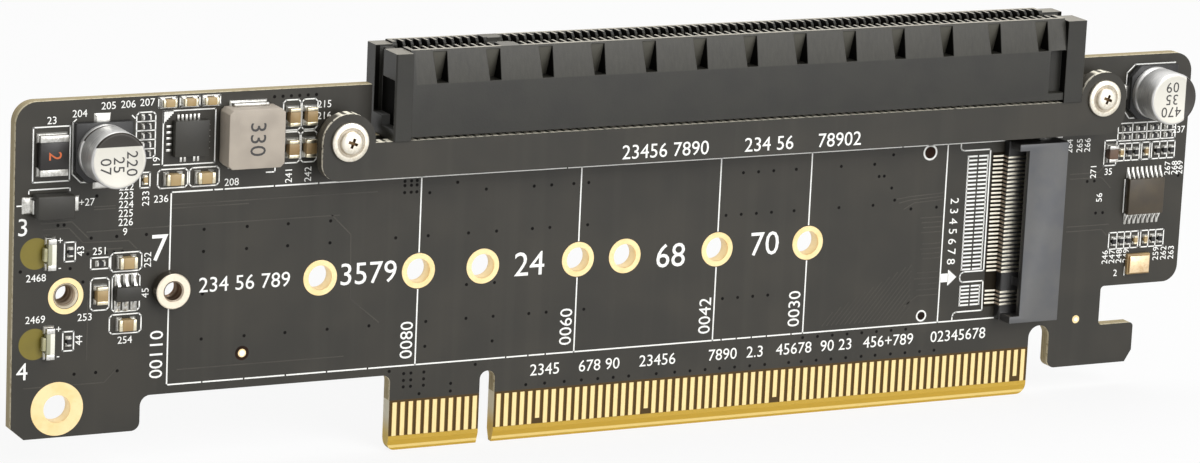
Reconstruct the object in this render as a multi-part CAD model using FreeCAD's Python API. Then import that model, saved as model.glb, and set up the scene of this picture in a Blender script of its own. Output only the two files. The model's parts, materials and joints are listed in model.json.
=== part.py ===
import FreeCAD, Part
import math
import os

# Drive adapter card: a main board that plugs into an edge slot, a card slot on its top edge,
# a bridge board screwed in front of that slot, and a drive socket on each face.
# Frame, in mm: X along the card from the centre of the key notch, Z up from the bottom
# of the edge tongue, Y through the board. The component face looks towards -Y.

os.makedirs("parts", exist_ok=True)
vec = FreeCAD.Vector

hidden_sides = 8             # of pegs, shanks and the holes they fill
tolerance = 1e-6

# ---- the drives that the card carries ----
drive_line = 20.87           # height of a drive's centre line
socket_datum = 70.84         # where the front drive's edge stops
back_offset = 12.0           # the back socket stands this much further left
front_lengths = (30.0, 42.0, 60.0, 80.0)
back_lengths = (30.0, 42.0, 60.0, 80.0)
longest_drive = 110.0
front_standoff_x = socket_datum - longest_drive
back_standoff_x = front_standoff_x - back_offset

# ---- main board ----
# its left edge clears the last standoff and the outermost part, whichever is further out
board_thickness = 1.6
standoff_margin = 6.04
outermost_part = -54.7       # left side of the fuse
part_margin = 2.5
board_left = min(back_standoff_x - standoff_margin, outermost_part - part_margin)
board_right = 92.8
left_shoulder = 42.57        # top edge left of the slot notch
right_shoulder = 41.25       # top edge right of the slot notch
shoulder_radius = 2.4
notch_left = -15.6
notch_right = 75.9
notch_floor = 36.75          # the slot's feet stand on this edge
lower_edge = 8.95            # edge between the bracket tab and the tongue
right_lower_edge = 12.8
right_lower_radius = 2.0
tab_width = 14.95
tab_right = board_left + tab_width
tab_bottom = 5.0
tab_chamfer_x = 1.5
tab_chamfer_z = 1.3
tab_radius = 1.0
tab_root_radius = 1.2
hook_left = 75.04
hook_right = 87.0
hook_neck = 82.0             # left wall of the notch above the hook
hook_top = 7.95
hook_bottom = 3.07
hook_chamfer_x = 0.9
hook_chamfer_z = 1.45
hook_gap_top = 8.5
small_radius = 0.5
arc_gap = 0.01               # straight left between two arcs that make a round end

# ---- edge tongue and its fingers ----
tongue_left = -12.15
tongue_right = 72.15
tongue_corner = 1.0
tongue_root_radius = 0.9
key_width = 1.9
key_top = 8.55
bevel_height = 1.3
bevel_depth = 0.45
bevel_overrun = 1.0          # the bevel's cutters pass the tongue's ends by this much
finger_pitch = 1.0
finger_width = 0.7
finger_bottom = 1.8
finger_top = 5.71
finger_foil = 0.05
short_finger_bottom = 2.45
key_half_span = 1.5          # from the key's centre to the nearest finger
left_finger_count = 11
right_finger_count = 71
short_front_fingers = (17, 31, 48, 81)
short_back_fingers = (1,)

# ---- holes and standoffs ----
hole_bore = 1.5
tab_hole_x = board_left + 5.28
tab_hole_z = 8.23
tab_hole_bore = 1.65
standoff_radius = 2.0
standoff_height = 1.5
standoff_shank = 1.4
standoff_thread = 1.02

# ---- bridge board and its screws ----
bridge_gap = 2.0             # between the faces of the two boards
bridge_thickness = 1.6
bridge_bottom = 32.6
ear_radius = 3.15
left_ear_x = -19.7
right_ear_x = 78.2
ear_z = 37.0
left_ear_corner = 2.0
right_ear_corner = 2.6
screw_radius = 1.25
screw_hole = 1.35
screw_end_gap = 0.3
flange_radius = 2.2
flange_height = 0.45
dome_radius = 1.35
dome_top_radius = 1.05
dome_height = 0.5
recess_size = 1.1
recess_width = 0.3
recess_depth = 0.45
spacer_across = 4.5

# ---- card slot ----
slot_left = -14.5
slot_right = 75.0
slot_foot = 0.35             # gap between the housing's floor and the board's edge
slot_bottom = notch_floor + slot_foot
slot_height = 9.7
slot_top = slot_bottom + slot_height
tower_drop = 0.2             # each end stands this much lower than the ribs
tower_top = slot_top - tower_drop
rib_height = 3.7
rib_base = slot_top - rib_height
rib_face = 3.75              # from the card plane to the ribs' top edge
band_face = 4.5              # from the card plane to the plain lower wall
tower_face = 4.7
rear_face = 3.5
rear_rib_face = 3.3
tower_corner = 0.15
channel_half = 1.15
channel_depth = 8.2
channel_floor = slot_top - channel_depth
lead_in = 0.35
card_clearance = 0.25
key_web = 1.6
contact_width = 0.5
contact_thickness = 0.2
contact_drop = 1.1           # from the slot's top to the contacts' tips
contact_top = slot_top - contact_drop
tail_reach = 2.4             # how far the tails lie down the board's faces
trench_clearance = 0.05
rib_pitch = 6.5
first_rib_gap = -8.05
rib_gap_count = 13
rib_gap_drop = 0.25
rib_gap_width = 1.7          # of a gap between two ribs, at its top
rib_gap_lean = 0.35          # its left edge leans in this much towards the foot
rib_gap_depth = 0.1          # behind the ribs' top edge
rib_gap_floor = 2.5          # from the card plane to the gap's wall, at its foot
end_groove_depth = 1.0
end_groove_floor = 39.1
end_web_drop = 0.3           # the web behind each end groove is this much lower than its tower
end_recess_wall = 0.35
end_recess_floor = 38.0
end_recess_top = 43.6
window_width = 2.1
window_bottom = 38.0
window_depth = 1.0

# ---- drive sockets (offsets from the datum, the board face and the centre line) ----
socket_length = 21.9
socket_height = 3.2
jaw_front = -2.24            # front edge of the upper jaw
jaw_back = 3.16
lip_front = -3.95            # front edge of the lower jaw
arm_front = -3.6             # the end arms reach this far forward
arm_width = 0.85
lower_jaw = 1.1
mouth_floor = 1.25
mouth_top = 2.35
mouth_back = 0.25
socket_pitch = 0.5
lead_width = 0.24
lead_thickness = 0.13
lead_reach = 1.4             # how far a tail runs past the housing
blade_end = -1.1             # how far in the contact blades reach
socket_key_centre = -6.15
socket_key_width = 1.0
row_start = 9.0              # first front lead above the centre line
upper_lead_count = 29
lower_lead_count = 4
lower_row_start = -7.5
solder_tab_length = 1.6
solder_tab_inset = 0.8
solder_tab_width = 0.5
solder_tab_height = 0.5
peg_radius_large = 0.6
peg_radius_small = 0.4
peg_fit = 0.05
peg_offset = 9.95            # from the centre line
peg_u = -2.05                # from the datum

# ---- round capacitors ----
can_radius = 3.15
can_height = 5.4
can_base_side = 6.6
can_base_height = 0.9
can_base_chamfer = 1.3
can_bead_radius = 2.95
can_bead_bottom = 1.5
can_bead_top = 2.0
can_edge = 0.35
can_lead_width = 1.6
can_lead_length = 0.7
can_lead_height = 0.25
left_can = (-47.35, 36.8, -90)           # x, z, and its turn from marked side to the right
right_can = (87.05, 36.75, 0)

# ---- inductor ----
coil_x = -30.4
coil_z = 37.75
coil_side = 6.6
coil_height = 2.9
coil_foot = 0.1
coil_edge = 0.45
coil_terminal_width = 4.1
coil_terminal_reach = 0.8
coil_terminal_height = 1.1
coil_clip = 0.35             # thickness outside the body
coil_clip_seat = 0.15        # how far it is let into the body's foot

# ---- chips ----
power_chip = (-37.2, 37.75)
power_chip_side = 4.0
power_chip_height = 0.9
clock_chip = (87.0, 23.9)
clock_chip_length = 5.0
clock_chip_width = 4.4
clock_chip_height = 1.0
clock_pin_count = 8
clock_pin_pitch = 0.65
clock_pin_width = 0.26
clock_pin_span = 7.0
small_chip = (-44.2, 20.8)
small_chip_length = 2.9
small_chip_width = 1.6
small_chip_height = 1.1
small_pin_count = 3
small_pin_pitch = 0.95
small_pin_width = 0.4
small_pin_span = 3.9
pin_thickness = 0.15
pin_rise = 0.5               # where a pin leaves its chip, above the board
pin_foot = 0.5
chip_standoff = 0.1

# ---- fuse, diode, crystal, side lamps ----
fuse_width = 3.2
fuse_place = (outermost_part + fuse_width / 2, 36.72)
fuse_length = 4.5
fuse_height = 1.0
fuse_end = 0.75
diode_place = (-53.1, 31.2)
diode_length = 4.3
diode_width = 2.6
diode_height = 2.0
diode_lift = 0.15
diode_lead_width = 1.5
diode_lead_reach = 0.95
diode_lead_thickness = 0.25
diode_lead_rise = 1.1
crystal_place = (86.85, 15.4)
crystal_length = 3.2
crystal_width = 2.5
crystal_base_height = 0.5
crystal_lid_height = 0.3
crystal_lid_inset = 0.2
lamp_x = -53.08
lamp_heights = (25.75, 15.78)
lamp_depth = 0.95
lamp_body = 2.3
lamp_length = 3.5
lamp_rise = 0.9
lamp_lens_reach = 0.45
lamp_lens_width = 1.5
lamp_lens_inset = 0.1

# ---- chip capacitors and resistors: (x, z, upright) ----
large_size = (2.0, 1.25, 1.0, 0.4)      # length, width, height, end cap
medium_size = (1.6, 0.8, 0.8, 0.3)
small_size = (1.0, 0.5, 0.45, 0.22)
bead_size = (2.0, 1.25, 0.9, 0.4)
large_capacitors = [
    (-44.24, 24.25, False), (-44.2, 17.27, False), (-47.22, 20.8, True),
    (-39.05, 33.25, False), (-35.37, 33.25, False),
    (-25.13, 39.5, True), (-23.07, 39.5, True), (-25.13, 35.9, True), (-23.07, 35.9, True),
]
medium_capacitors = [(-39.8, 41.75, False), (-37.35, 41.75, False), (-34.9, 41.75, False)]
small_capacitors = [
    (-42.3, 33.3, True), (83.45, 29.35, True), (87.0, 29.35, True),
    (86.33, 18.35, True), (87.78, 18.35, True),
]
bead_place = [(82.0, 29.35, True)]
resistor_column = (-42.3, (40.25, 39.23, 38.2, 37.2, 36.2))
resistor_pairs = ((83.95, 86.0, 88.02, 90.03), (32.25, 31.25))
middle_resistors = (84.55, 85.55, 88.6, 89.62, 90.64)
middle_row = 29.35
low_resistors = (83.25, 84.28, 85.3, 88.84, 89.87)
low_row = 18.35
single_resistors = [(-50.77, 25.78, True), (-50.77, 15.78, True), (-47.27, 24.27, False)]

front = -board_thickness / 2
back = board_thickness / 2


def box(x0, x1, y0, y1, z0, z1):
    return Part.makeBox(x1 - x0, y1 - y0, z1 - z0, vec(x0, y0, z0))


def rod(x, z, radius, y0, y1):
    """A cylinder through the board's thickness."""
    return Part.makeCylinder(radius, y1 - y0, vec(x, y0, z), vec(0, 1, 0))


def bar(x, z, radius, sides, y0, y1):
    """A many-sided bar through the board's thickness, for small or hidden pieces."""
    points = []
    for index in range(sides):
        angle = 2 * math.pi * index / sides
        points.append(vec(x + radius * math.cos(angle), y0, z + radius * math.sin(angle)))
    return swept(points, vec(0, y1 - y0, 0))


def raised(x0, x1, z0, z1, h0, h1):
    """A block on the component face, between heights h0 and h1."""
    return box(x0, x1, front - h1, front - h0, z0, z1)


def outline(corners, y):
    """A closed wire in the plane y through (x, z, radius) corners."""
    edges = []
    starts = []
    ends = []
    for index, (x, z, radius) in enumerate(corners):
        here = vec(x, y, z)
        before = vec(corners[index - 1][0], y, corners[index - 1][1])
        after_corner = corners[(index + 1) % len(corners)]
        after = vec(after_corner[0], y, after_corner[1])
        way_in = (here - before).normalize()
        way_out = (after - here).normalize()
        if radius <= 0:
            starts.append(here)
            ends.append(here)
            continue
        half_turn = way_in.getAngle(way_out) / 2
        setback = radius * math.tan(half_turn)
        start = here - way_in * setback
        end = here + way_out * setback
        inward = (way_out - way_in).normalize()
        middle = here + inward * (radius / math.cos(half_turn) - radius)
        edges.append(Part.Arc(start, middle, end).toShape())
        starts.append(start)
        ends.append(end)
    for index in range(len(corners)):
        following = starts[(index + 1) % len(corners)]
        if (following - ends[index]).Length > tolerance:
            edges.append(Part.LineSegment(ends[index], following).toShape())
    return Part.Wire(Part.__sortEdges__(edges))


def plate(corners, y, thickness):
    """A flat plate with rounded corners, its near face at y."""
    return Part.Face(outline(corners, y)).extrude(vec(0, thickness, 0))


def swept(points, along):
    """A prism from a polygon of points, extruded by a vector."""
    return Part.Face(Part.makePolygon(points + [points[0]])).extrude(along)


def save(name, solids):
    shape = solids if isinstance(solids, Part.Shape) else Part.makeCompound(solids)
    shape.exportStep("parts/" + name + ".step")


def finger_x(number):
    """Centre of an edge finger, counted from the left."""
    if number <= left_finger_count:
        return -key_half_span - (left_finger_count - number) * finger_pitch
    return key_half_span + (number - left_finger_count - 1) * finger_pitch


last_finger = left_finger_count + right_finger_count
all_fingers = range(1, last_finger + 1)
drive_holes = [socket_datum - length for length in front_lengths]
drive_holes += [socket_datum - back_offset - length for length in back_lengths]
drive_holes = sorted(set(round(x, 3) for x in drive_holes))
peg_holes = [(peg_u, -peg_offset, peg_radius_large), (peg_u, peg_offset, peg_radius_small)]


def main_board():
    key_half = key_width / 2
    gap_radius = (hook_left - tongue_right) / 2 - arc_gap
    corners = [
        (board_left, left_shoulder, shoulder_radius), (notch_left, left_shoulder, 0),
        (notch_left, notch_floor, 0), (notch_right, notch_floor, 0),
        (notch_right, right_shoulder, 0), (board_right, right_shoulder, shoulder_radius),
        (board_right, right_lower_edge, right_lower_radius),
        (hook_neck, right_lower_edge, small_radius), (hook_neck, hook_top, small_radius),
        (hook_right, hook_top, small_radius), (hook_right, hook_bottom + hook_chamfer_z, 0),
        (hook_right - hook_chamfer_x, hook_bottom, 0), (hook_left, hook_bottom, tab_radius),
        (hook_left, hook_gap_top, gap_radius), (tongue_right, hook_gap_top, gap_radius),
        (tongue_right, 0, tongue_corner), (key_half, 0, 0),
        (key_half, key_top, key_half - arc_gap), (-key_half, key_top, key_half - arc_gap),
        (-key_half, 0, 0), (tongue_left, 0, tongue_corner),
        (tongue_left, lower_edge, tongue_root_radius), (tab_right, lower_edge, tab_root_radius),
        (tab_right, tab_bottom, tab_radius), (board_left + tab_chamfer_x, tab_bottom, 0),
        (board_left, tab_bottom + tab_chamfer_z, 0),
    ]
    board = plate(corners, front, board_thickness)
    cutters = [rod(tab_hole_x, tab_hole_z, tab_hole_bore, front, back)]
    for x in drive_holes:
        cutters.append(rod(x, drive_line, hole_bore, front, back))
    for x in (front_standoff_x, back_standoff_x):
        cutters.append(bar(x, drive_line, hole_bore, hidden_sides, front, back))
    for u, w, radius in peg_holes:
        for datum, turn in ((socket_datum, 1), (socket_datum - back_offset, -1)):
            cutters.append(bar(
                datum + u, drive_line + turn * w, radius + peg_fit, hidden_sides, front, back))
    start = tongue_left - bevel_overrun
    end = tongue_right + bevel_overrun
    for side in (-1, 1):
        face = side * board_thickness / 2
        wedge = [
            vec(start, face, bevel_height), vec(start, face, 0),
            vec(start, face - side * bevel_depth, 0),
        ]
        cutters.append(swept(wedge, vec(end - start, 0, 0)))
    return board.cut(cutters)


def edge_fingers():
    fingers = []
    for number in all_fingers:
        x = finger_x(number)
        left = x - finger_width / 2
        right = x + finger_width / 2
        low = short_finger_bottom if number in short_front_fingers else finger_bottom
        fingers.append(box(left, right, front - finger_foil, front, low, finger_top))
        low = short_finger_bottom if number in short_back_fingers else finger_bottom
        fingers.append(box(left, right, back, back + finger_foil, low, finger_top))
    return fingers


def standoff(x, side):
    """Threaded standoff on one face; its shank goes down the board's hole."""
    face = side * board_thickness / 2
    far = face + side * standoff_height
    shank_end = -side * board_thickness / 2
    body = rod(x, drive_line, standoff_radius, min(face, far), max(face, far))
    shank = bar(
        x, drive_line, standoff_shank, hidden_sides, min(face, shank_end), max(face, shank_end))
    bore = rod(x, drive_line, standoff_thread, min(far, shank_end), max(far, shank_end))
    return body.fuse(shank).cut(bore)


bridge_back = front - bridge_gap
bridge_front = bridge_back - bridge_thickness


def bridge_board():
    left = left_ear_x - ear_radius
    right = right_ear_x + ear_radius
    ear_top = ear_z + ear_radius
    round_top = ear_radius - arc_gap
    corners = [
        (left, bridge_bottom, left_ear_corner), (left, ear_top, round_top),
        (left_ear_x + ear_radius, ear_top, round_top), (left_ear_x + ear_radius, notch_floor, 0),
        (right_ear_x - ear_radius, notch_floor, 0), (right_ear_x - ear_radius, ear_top, round_top),
        (right, ear_top, round_top), (right, bridge_bottom, right_ear_corner),
    ]
    board = plate(corners, bridge_front, bridge_thickness)
    holes = [
        bar(x, ear_z, screw_hole, hidden_sides, bridge_front, bridge_back)
        for x in (left_ear_x, right_ear_x)]
    return board.cut(holes)


def bridge_screw(x):
    """Flanged screw with a domed middle and a cross recess."""
    flange_top = bridge_front - flange_height
    dome_top = flange_top - dome_height
    flange = rod(x, ear_z, flange_radius, flange_top, bridge_front)
    dome = Part.makeCone(
        dome_top_radius, dome_radius, dome_height, vec(x, dome_top, ear_z), vec(0, 1, 0))
    shank = bar(x, ear_z, screw_radius, hidden_sides, bridge_front, front - screw_end_gap)
    recess = []
    for long_x, long_z in ((recess_size, recess_width), (recess_width, recess_size)):
        recess.append(box(
            x - long_x / 2, x + long_x / 2, dome_top, dome_top + recess_depth,
            ear_z - long_z / 2, ear_z + long_z / 2))
    return flange.fuse([dome, shank]).cut(recess)


def bridge_spacer(x):
    """Six-sided spacer between the two boards."""
    corner_radius = spacer_across / 2 / math.cos(math.pi / 6)
    outside = bar(x, ear_z, corner_radius, 6, bridge_back, front)
    return outside.cut(bar(x, ear_z, screw_radius, hidden_sides, bridge_back, front))


channel_left = tongue_left - card_clearance
channel_right = tongue_right + card_clearance


def rib_gap(apex, side):
    """Cutter for one pocket between two ribs; its wall slopes in towards the foot."""
    top = slot_top - rib_gap_drop
    shallow = side * ((rib_face if side < 0 else rear_rib_face) - rib_gap_depth)
    deep = side * rib_gap_floor
    outside = side * tower_face
    left = apex - rib_gap_width
    opening = [
        vec(left, deep, top), vec(apex, deep, top), vec(apex, deep, rib_base),
        vec(left + rib_gap_lean, deep, rib_base),
    ]
    slope = [
        vec(left, shallow, top), vec(left, outside, top), vec(left, outside, rib_base),
        vec(left, deep, rib_base),
    ]
    prism = swept(opening, vec(0, outside - deep, 0))
    return prism.common(swept(slope, vec(rib_gap_width, 0, 0)))


def end_tower(x_out, x_in):
    """Full-height end of the slot, its outer corners cut off."""
    step = tower_corner if x_in > x_out else -tower_corner
    points = [
        vec(x_in, -tower_face, notch_floor), vec(x_in, rear_face, notch_floor),
        vec(x_out + step, rear_face, notch_floor), vec(x_out, rear_face - tower_corner, notch_floor),
        vec(x_out, -tower_face + tower_corner, notch_floor),
        vec(x_out + step, -tower_face, notch_floor),
    ]
    return swept(points, vec(0, 0, tower_top - notch_floor))


def slot_housing():
    section = [
        vec(channel_left, -band_face, slot_bottom), vec(channel_left, -band_face, rib_base),
        vec(channel_left, -rib_face, slot_top), vec(channel_left, rear_rib_face, slot_top),
        vec(channel_left, rear_face, rib_base), vec(channel_left, rear_face, slot_bottom),
    ]
    middle = swept(section, vec(channel_right - channel_left, 0, 0))
    body = middle.fuse([end_tower(slot_left, channel_left), end_tower(slot_right, channel_right)])
    cutters = []
    for x0, x1 in ((channel_left, -key_web / 2), (key_web / 2, channel_right)):
        mouth = [
            vec(x0, -channel_half, channel_floor), vec(x0, -channel_half, slot_top - lead_in),
            vec(x0, -channel_half - lead_in, slot_top), vec(x0, channel_half + lead_in, slot_top),
            vec(x0, channel_half, slot_top - lead_in), vec(x0, channel_half, channel_floor),
        ]
        cutters.append(swept(mouth, vec(x1 - x0, 0, 0)))
    near = board_thickness / 2
    far = near + contact_thickness + trench_clearance
    for first, last in ((1, left_finger_count), (left_finger_count + 1, last_finger)):
        x0 = finger_x(first) - contact_width / 2 - trench_clearance
        x1 = finger_x(last) + contact_width / 2 + trench_clearance
        for y0, y1 in ((-far, -near), (near, far)):
            cutters.append(box(x0, x1, y0, y1, slot_bottom, channel_floor))
    for index in range(rib_gap_count):
        apex = first_rib_gap + index * rib_pitch
        cutters.append(rib_gap(apex, -1))
        cutters.append(rib_gap(apex, 1))
    cutters.append(box(
        slot_left, slot_right, -channel_half, channel_half, tower_top - end_web_drop, slot_top))
    for x0, x1 in (
            (slot_left, slot_left + end_groove_depth), (slot_right - end_groove_depth, slot_right)):
        cutters.append(box(x0, x1, -channel_half, channel_half, end_groove_floor, slot_top))
        cutters.append(box(
            x0, x1, -tower_face + end_recess_wall, -channel_half, end_recess_floor, end_recess_top))
    cutters.append(box(
        channel_right - window_width, channel_right, -band_face, -band_face + window_depth,
        window_bottom, rib_base))
    return body.cut(cutters)


def slot_contacts(side):
    """One row of slot contacts; each tail lies on its own face of the board."""
    near = side * board_thickness / 2
    far = near + side * contact_thickness
    row = []
    for number in all_fingers:
        x = finger_x(number)
        row.append(box(
            x - contact_width / 2, x + contact_width / 2, min(near, far), max(near, far),
            notch_floor - tail_reach, contact_top))
    return row


# A drive socket is built on the front face and turned about the drive line for the back.
def socket_box(u0, u1, h0, h1, w0, w1):
    return raised(
        socket_datum + u0, socket_datum + u1, drive_line + w0, drive_line + w1, h0, h1)


def socket_housing():
    half = socket_length / 2
    blocks = [
        socket_box(jaw_front, jaw_back, 0, socket_height, -half, half),
        socket_box(lip_front + lead_thickness, jaw_front, 0, lower_jaw, -half, half),
    ]
    for w0, w1 in ((-half, -half + arm_width), (half - arm_width, half)):
        blocks.append(socket_box(arm_front, jaw_front, lower_jaw, socket_height, w0, w1))
    for u, w, radius in peg_holes:
        blocks.append(bar(socket_datum + u, drive_line + w, radius, hidden_sides, front, back))
    body = blocks[0].fuse(blocks[1:])
    mouth = socket_box(
        jaw_front, mouth_back, mouth_floor, mouth_top, -half + arm_width, half - arm_width)
    lead_bed = socket_box(
        jaw_front, blade_end, lower_jaw, mouth_floor, -half + arm_width, half - arm_width)
    web = socket_box(
        jaw_front, mouth_back, lower_jaw, mouth_top,
        socket_key_centre - socket_key_width / 2, socket_key_centre + socket_key_width / 2)
    return body.cut([mouth, lead_bed]).fuse(web).removeSplitter()


def front_lead(w):
    """Contact blade on the lower jaw, bent down its front and out along the board."""
    u_out = lip_front - lead_reach
    u_wall = lip_front + lead_thickness
    top = lower_jaw + lead_thickness
    profile = [
        (u_out, 0), (u_wall, 0), (u_wall, lower_jaw), (blade_end, lower_jaw), (blade_end, top),
        (lip_front, top), (lip_front, lead_thickness), (u_out, lead_thickness),
    ]
    z = drive_line + w - lead_width / 2
    points = [vec(socket_datum + u, front - h, z) for u, h in profile]
    return swept(points, vec(0, 0, lead_width))


def socket_leads():
    leads = []
    for index in range(upper_lead_count):
        leads.append(front_lead(row_start - index * socket_pitch))
    for index in range(lower_lead_count):
        leads.append(front_lead(lower_row_start - index * socket_pitch))
    return leads


def socket_tabs():
    half = socket_length / 2
    end = jaw_back - solder_tab_inset
    tabs = []
    for w0, w1 in ((-half - solder_tab_width, -half), (half, half + solder_tab_width)):
        tabs.append(socket_box(end - solder_tab_length, end, 0, solder_tab_height, w0, w1))
    return tabs


def to_back(shape):
    turned = shape.copy()
    turned.rotate(vec(0, 0, drive_line), vec(1, 0, 0), 180)
    turned.translate(vec(-back_offset, 0, 0))
    return turned


# A round capacitor is built at the origin, its marked side to the right, then turned and moved.
def can_base():
    """Square base whose two left corners are cut off, with beds for the leads."""
    half = can_base_side / 2
    cut = half - can_base_chamfer
    corners = [(-cut, half), (half, half), (half, -half), (-cut, -half), (-half, -cut), (-half, cut)]
    points = [vec(x, front, z) for x, z in corners]
    base = swept(points, vec(0, -can_base_height, 0))
    return base.cut(can_leads())


def can_body():
    """Drawn can with a rolled bead near its foot and a rounded top edge."""
    bottom = front - can_base_height
    top = front - can_height
    profile = [
        (0, bottom), (can_radius, bottom), (can_radius, front - can_bead_bottom),
        (can_bead_radius, front - (can_bead_bottom + can_bead_top) / 2),
        (can_radius, front - can_bead_top), (can_radius, top + can_edge),
        (can_radius - can_edge, top), (0, top)]
    points = [vec(r, y, 0) for r, y in profile]
    face = Part.Face(Part.makePolygon(points + [points[0]]))
    return face.revolve(vec(0, 0, 0), vec(0, 1, 0), 360)


def can_leads():
    leads = []
    for side in (-1, 1):
        inner = side * (can_base_side / 2 - can_lead_length)
        outer = side * (can_base_side / 2 + can_lead_length)
        leads.append(raised(
            min(inner, outer), max(inner, outer), -can_lead_width / 2, can_lead_width / 2,
            0, can_lead_height))
    return leads


def seated(shape, place):
    x, z, turn = place
    moved = shape.copy()
    moved.rotate(vec(0, 0, 0), vec(0, 1, 0), turn)
    moved.translate(vec(x, 0, z))
    return moved


def coil_body():
    half = coil_side / 2
    block = raised(
        coil_x - half, coil_x + half, coil_z - half, coil_z + half, coil_foot, coil_height)
    tall = coil_height - coil_foot - tolerance
    upright = [edge for edge in block.Edges if edge.BoundBox.YLength > tall]
    return block.makeChamfer(coil_edge, upright).cut(coil_terminals())


def coil_terminals():
    """Clips that come out at the top and bottom and fold under the body."""
    clips = []
    for side in (-1, 1):
        inside = coil_z + side * (coil_side / 2 - coil_terminal_reach)
        outside = coil_z + side * (coil_side / 2 + coil_clip)
        wall = coil_z + side * coil_side / 2
        half = coil_terminal_width / 2
        foot = raised(
            coil_x - half, coil_x + half, min(inside, outside), max(inside, outside),
            0, coil_foot + coil_clip_seat)
        rise = raised(
            coil_x - half, coil_x + half, min(wall, outside), max(wall, outside),
            coil_foot, coil_terminal_height)
        clips.append(foot.fuse(rise).removeSplitter())
    return clips


def power_chip_body():
    x, z = power_chip
    half = power_chip_side / 2
    return raised(x - half, x + half, z - half, z + half, 0, power_chip_height)


def chip_body(place, length, width, height):
    x, z = place
    return raised(
        x - length / 2, x + length / 2, z - width / 2, z + width / 2, chip_standoff, height)


def gull_pin(x, z, side, width, body_half, span_half):
    """One bent pin, from the chip's wall down to the board."""
    wall = z + side * body_half
    tip = z + side * span_half
    knee = z + side * (span_half - pin_foot)
    profile = [
        (wall, pin_rise), (knee, 0), (tip, 0), (tip, pin_thickness),
        (knee + side * pin_thickness / 2, pin_thickness), (wall, pin_rise + pin_thickness)]
    points = [vec(x - width / 2, front - h, pz) for pz, h in profile]
    return swept(points, vec(width, 0, 0))


def chip_pins(place, width, count, pitch, pin_width, span):
    x, z = place
    pins = []
    for index in range(count):
        shift = (index - (count - 1) / 2) * pitch
        for side in (-1, 1):
            pins.append(gull_pin(x + shift, z, side, pin_width, width / 2, span / 2))
    return pins


def chip_part(x, z, upright, size):
    """Body and end caps of one chip capacitor, resistor or bead."""
    length, width, height, cap = size
    spans = [(-length / 2 + cap, length / 2 - cap), (-length / 2, -length / 2 + cap),
             (length / 2 - cap, length / 2)]
    blocks = []
    for low, high in spans:
        if upright:
            blocks.append(raised(x - width / 2, x + width / 2, z + low, z + high, 0, height))
        else:
            blocks.append(raised(x + low, x + high, z - width / 2, z + width / 2, 0, height))
    return blocks[0], blocks[1:]


def chip_group(name, places, size):
    bodies = []
    caps = []
    for x, z, upright in places:
        body, ends = chip_part(x, z, upright, size)
        bodies.append(body)
        caps.extend(ends)
    save(name + "_bodies", bodies)
    save(name + "_ends", caps)


def fuse_parts():
    x, z = fuse_place
    body, ends = chip_part(x, z, True, (fuse_length, fuse_width, fuse_height, fuse_end))
    return body, ends


def diode_body():
    x, z = diode_place
    return raised(
        x - diode_length / 2, x + diode_length / 2, z - diode_width / 2, z + diode_width / 2,
        diode_lift, diode_height)


def diode_leads():
    """Leads that leave both ends and bend down to a foot outside the body."""
    x, z = diode_place
    leads = []
    for side in (-1, 1):
        wall = x + side * diode_length / 2
        bend = wall + side * diode_lead_thickness
        tip = wall + side * diode_lead_reach
        profile = [
            (wall, 0), (tip, 0), (tip, diode_lead_thickness), (bend, diode_lead_thickness),
            (bend, diode_lead_rise), (wall, diode_lead_rise)]
        points = [vec(px, front - h, z - diode_lead_width / 2) for px, h in profile]
        leads.append(swept(points, vec(0, 0, diode_lead_width)))
    return leads


def crystal_parts():
    x, z = crystal_place
    half_x = crystal_length / 2
    half_z = crystal_width / 2
    inset = crystal_lid_inset
    base = raised(x - half_x, x + half_x, z - half_z, z + half_z, 0, crystal_base_height)
    lid = raised(
        x - half_x + inset, x + half_x - inset, z - half_z + inset, z + half_z - inset,
        crystal_base_height, crystal_base_height + crystal_lid_height)
    return base, lid


def lamp_parts(z):
    left = lamp_x - lamp_depth / 2
    right = lamp_x + lamp_depth / 2
    body = raised(left, right, z - lamp_body / 2, z + lamp_body / 2, 0, lamp_rise)
    lens = raised(
        left - lamp_lens_reach, left, z - lamp_lens_width / 2, z + lamp_lens_width / 2,
        lamp_lens_inset, lamp_rise - lamp_lens_inset)
    ends = [
        raised(left, right, z - lamp_length / 2, z - lamp_body / 2, 0, lamp_rise),
        raised(left, right, z + lamp_body / 2, z + lamp_length / 2, 0, lamp_rise)]
    return body, lens, ends


save("main_board", main_board())
save("edge_fingers", edge_fingers())
save("front_standoff", standoff(front_standoff_x, -1))
save("back_standoff", standoff(back_standoff_x, 1))
save("bridge_board", bridge_board())
save("bridge_screws", [bridge_screw(x) for x in (left_ear_x, right_ear_x)])
save("bridge_spacers", [bridge_spacer(x) for x in (left_ear_x, right_ear_x)])

save("slot_housing", slot_housing())
save("slot_front_contacts", slot_contacts(-1))
save("slot_rear_contacts", slot_contacts(1))

drive_socket = {
    "housing": [socket_housing()],
    "leads": socket_leads(),
    "solder_tabs": socket_tabs(),
}
for part_name, solids in drive_socket.items():
    save("front_socket_" + part_name, solids)
    save("back_socket_" + part_name, [to_back(solid) for solid in solids])

for side_name, place in (("left", left_can), ("right", right_can)):
    save(side_name + "_capacitor_can", seated(can_body(), place))
    save(side_name + "_capacitor_base", seated(can_base(), place))
    save(side_name + "_capacitor_leads", [seated(lead, place) for lead in can_leads()])

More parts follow.
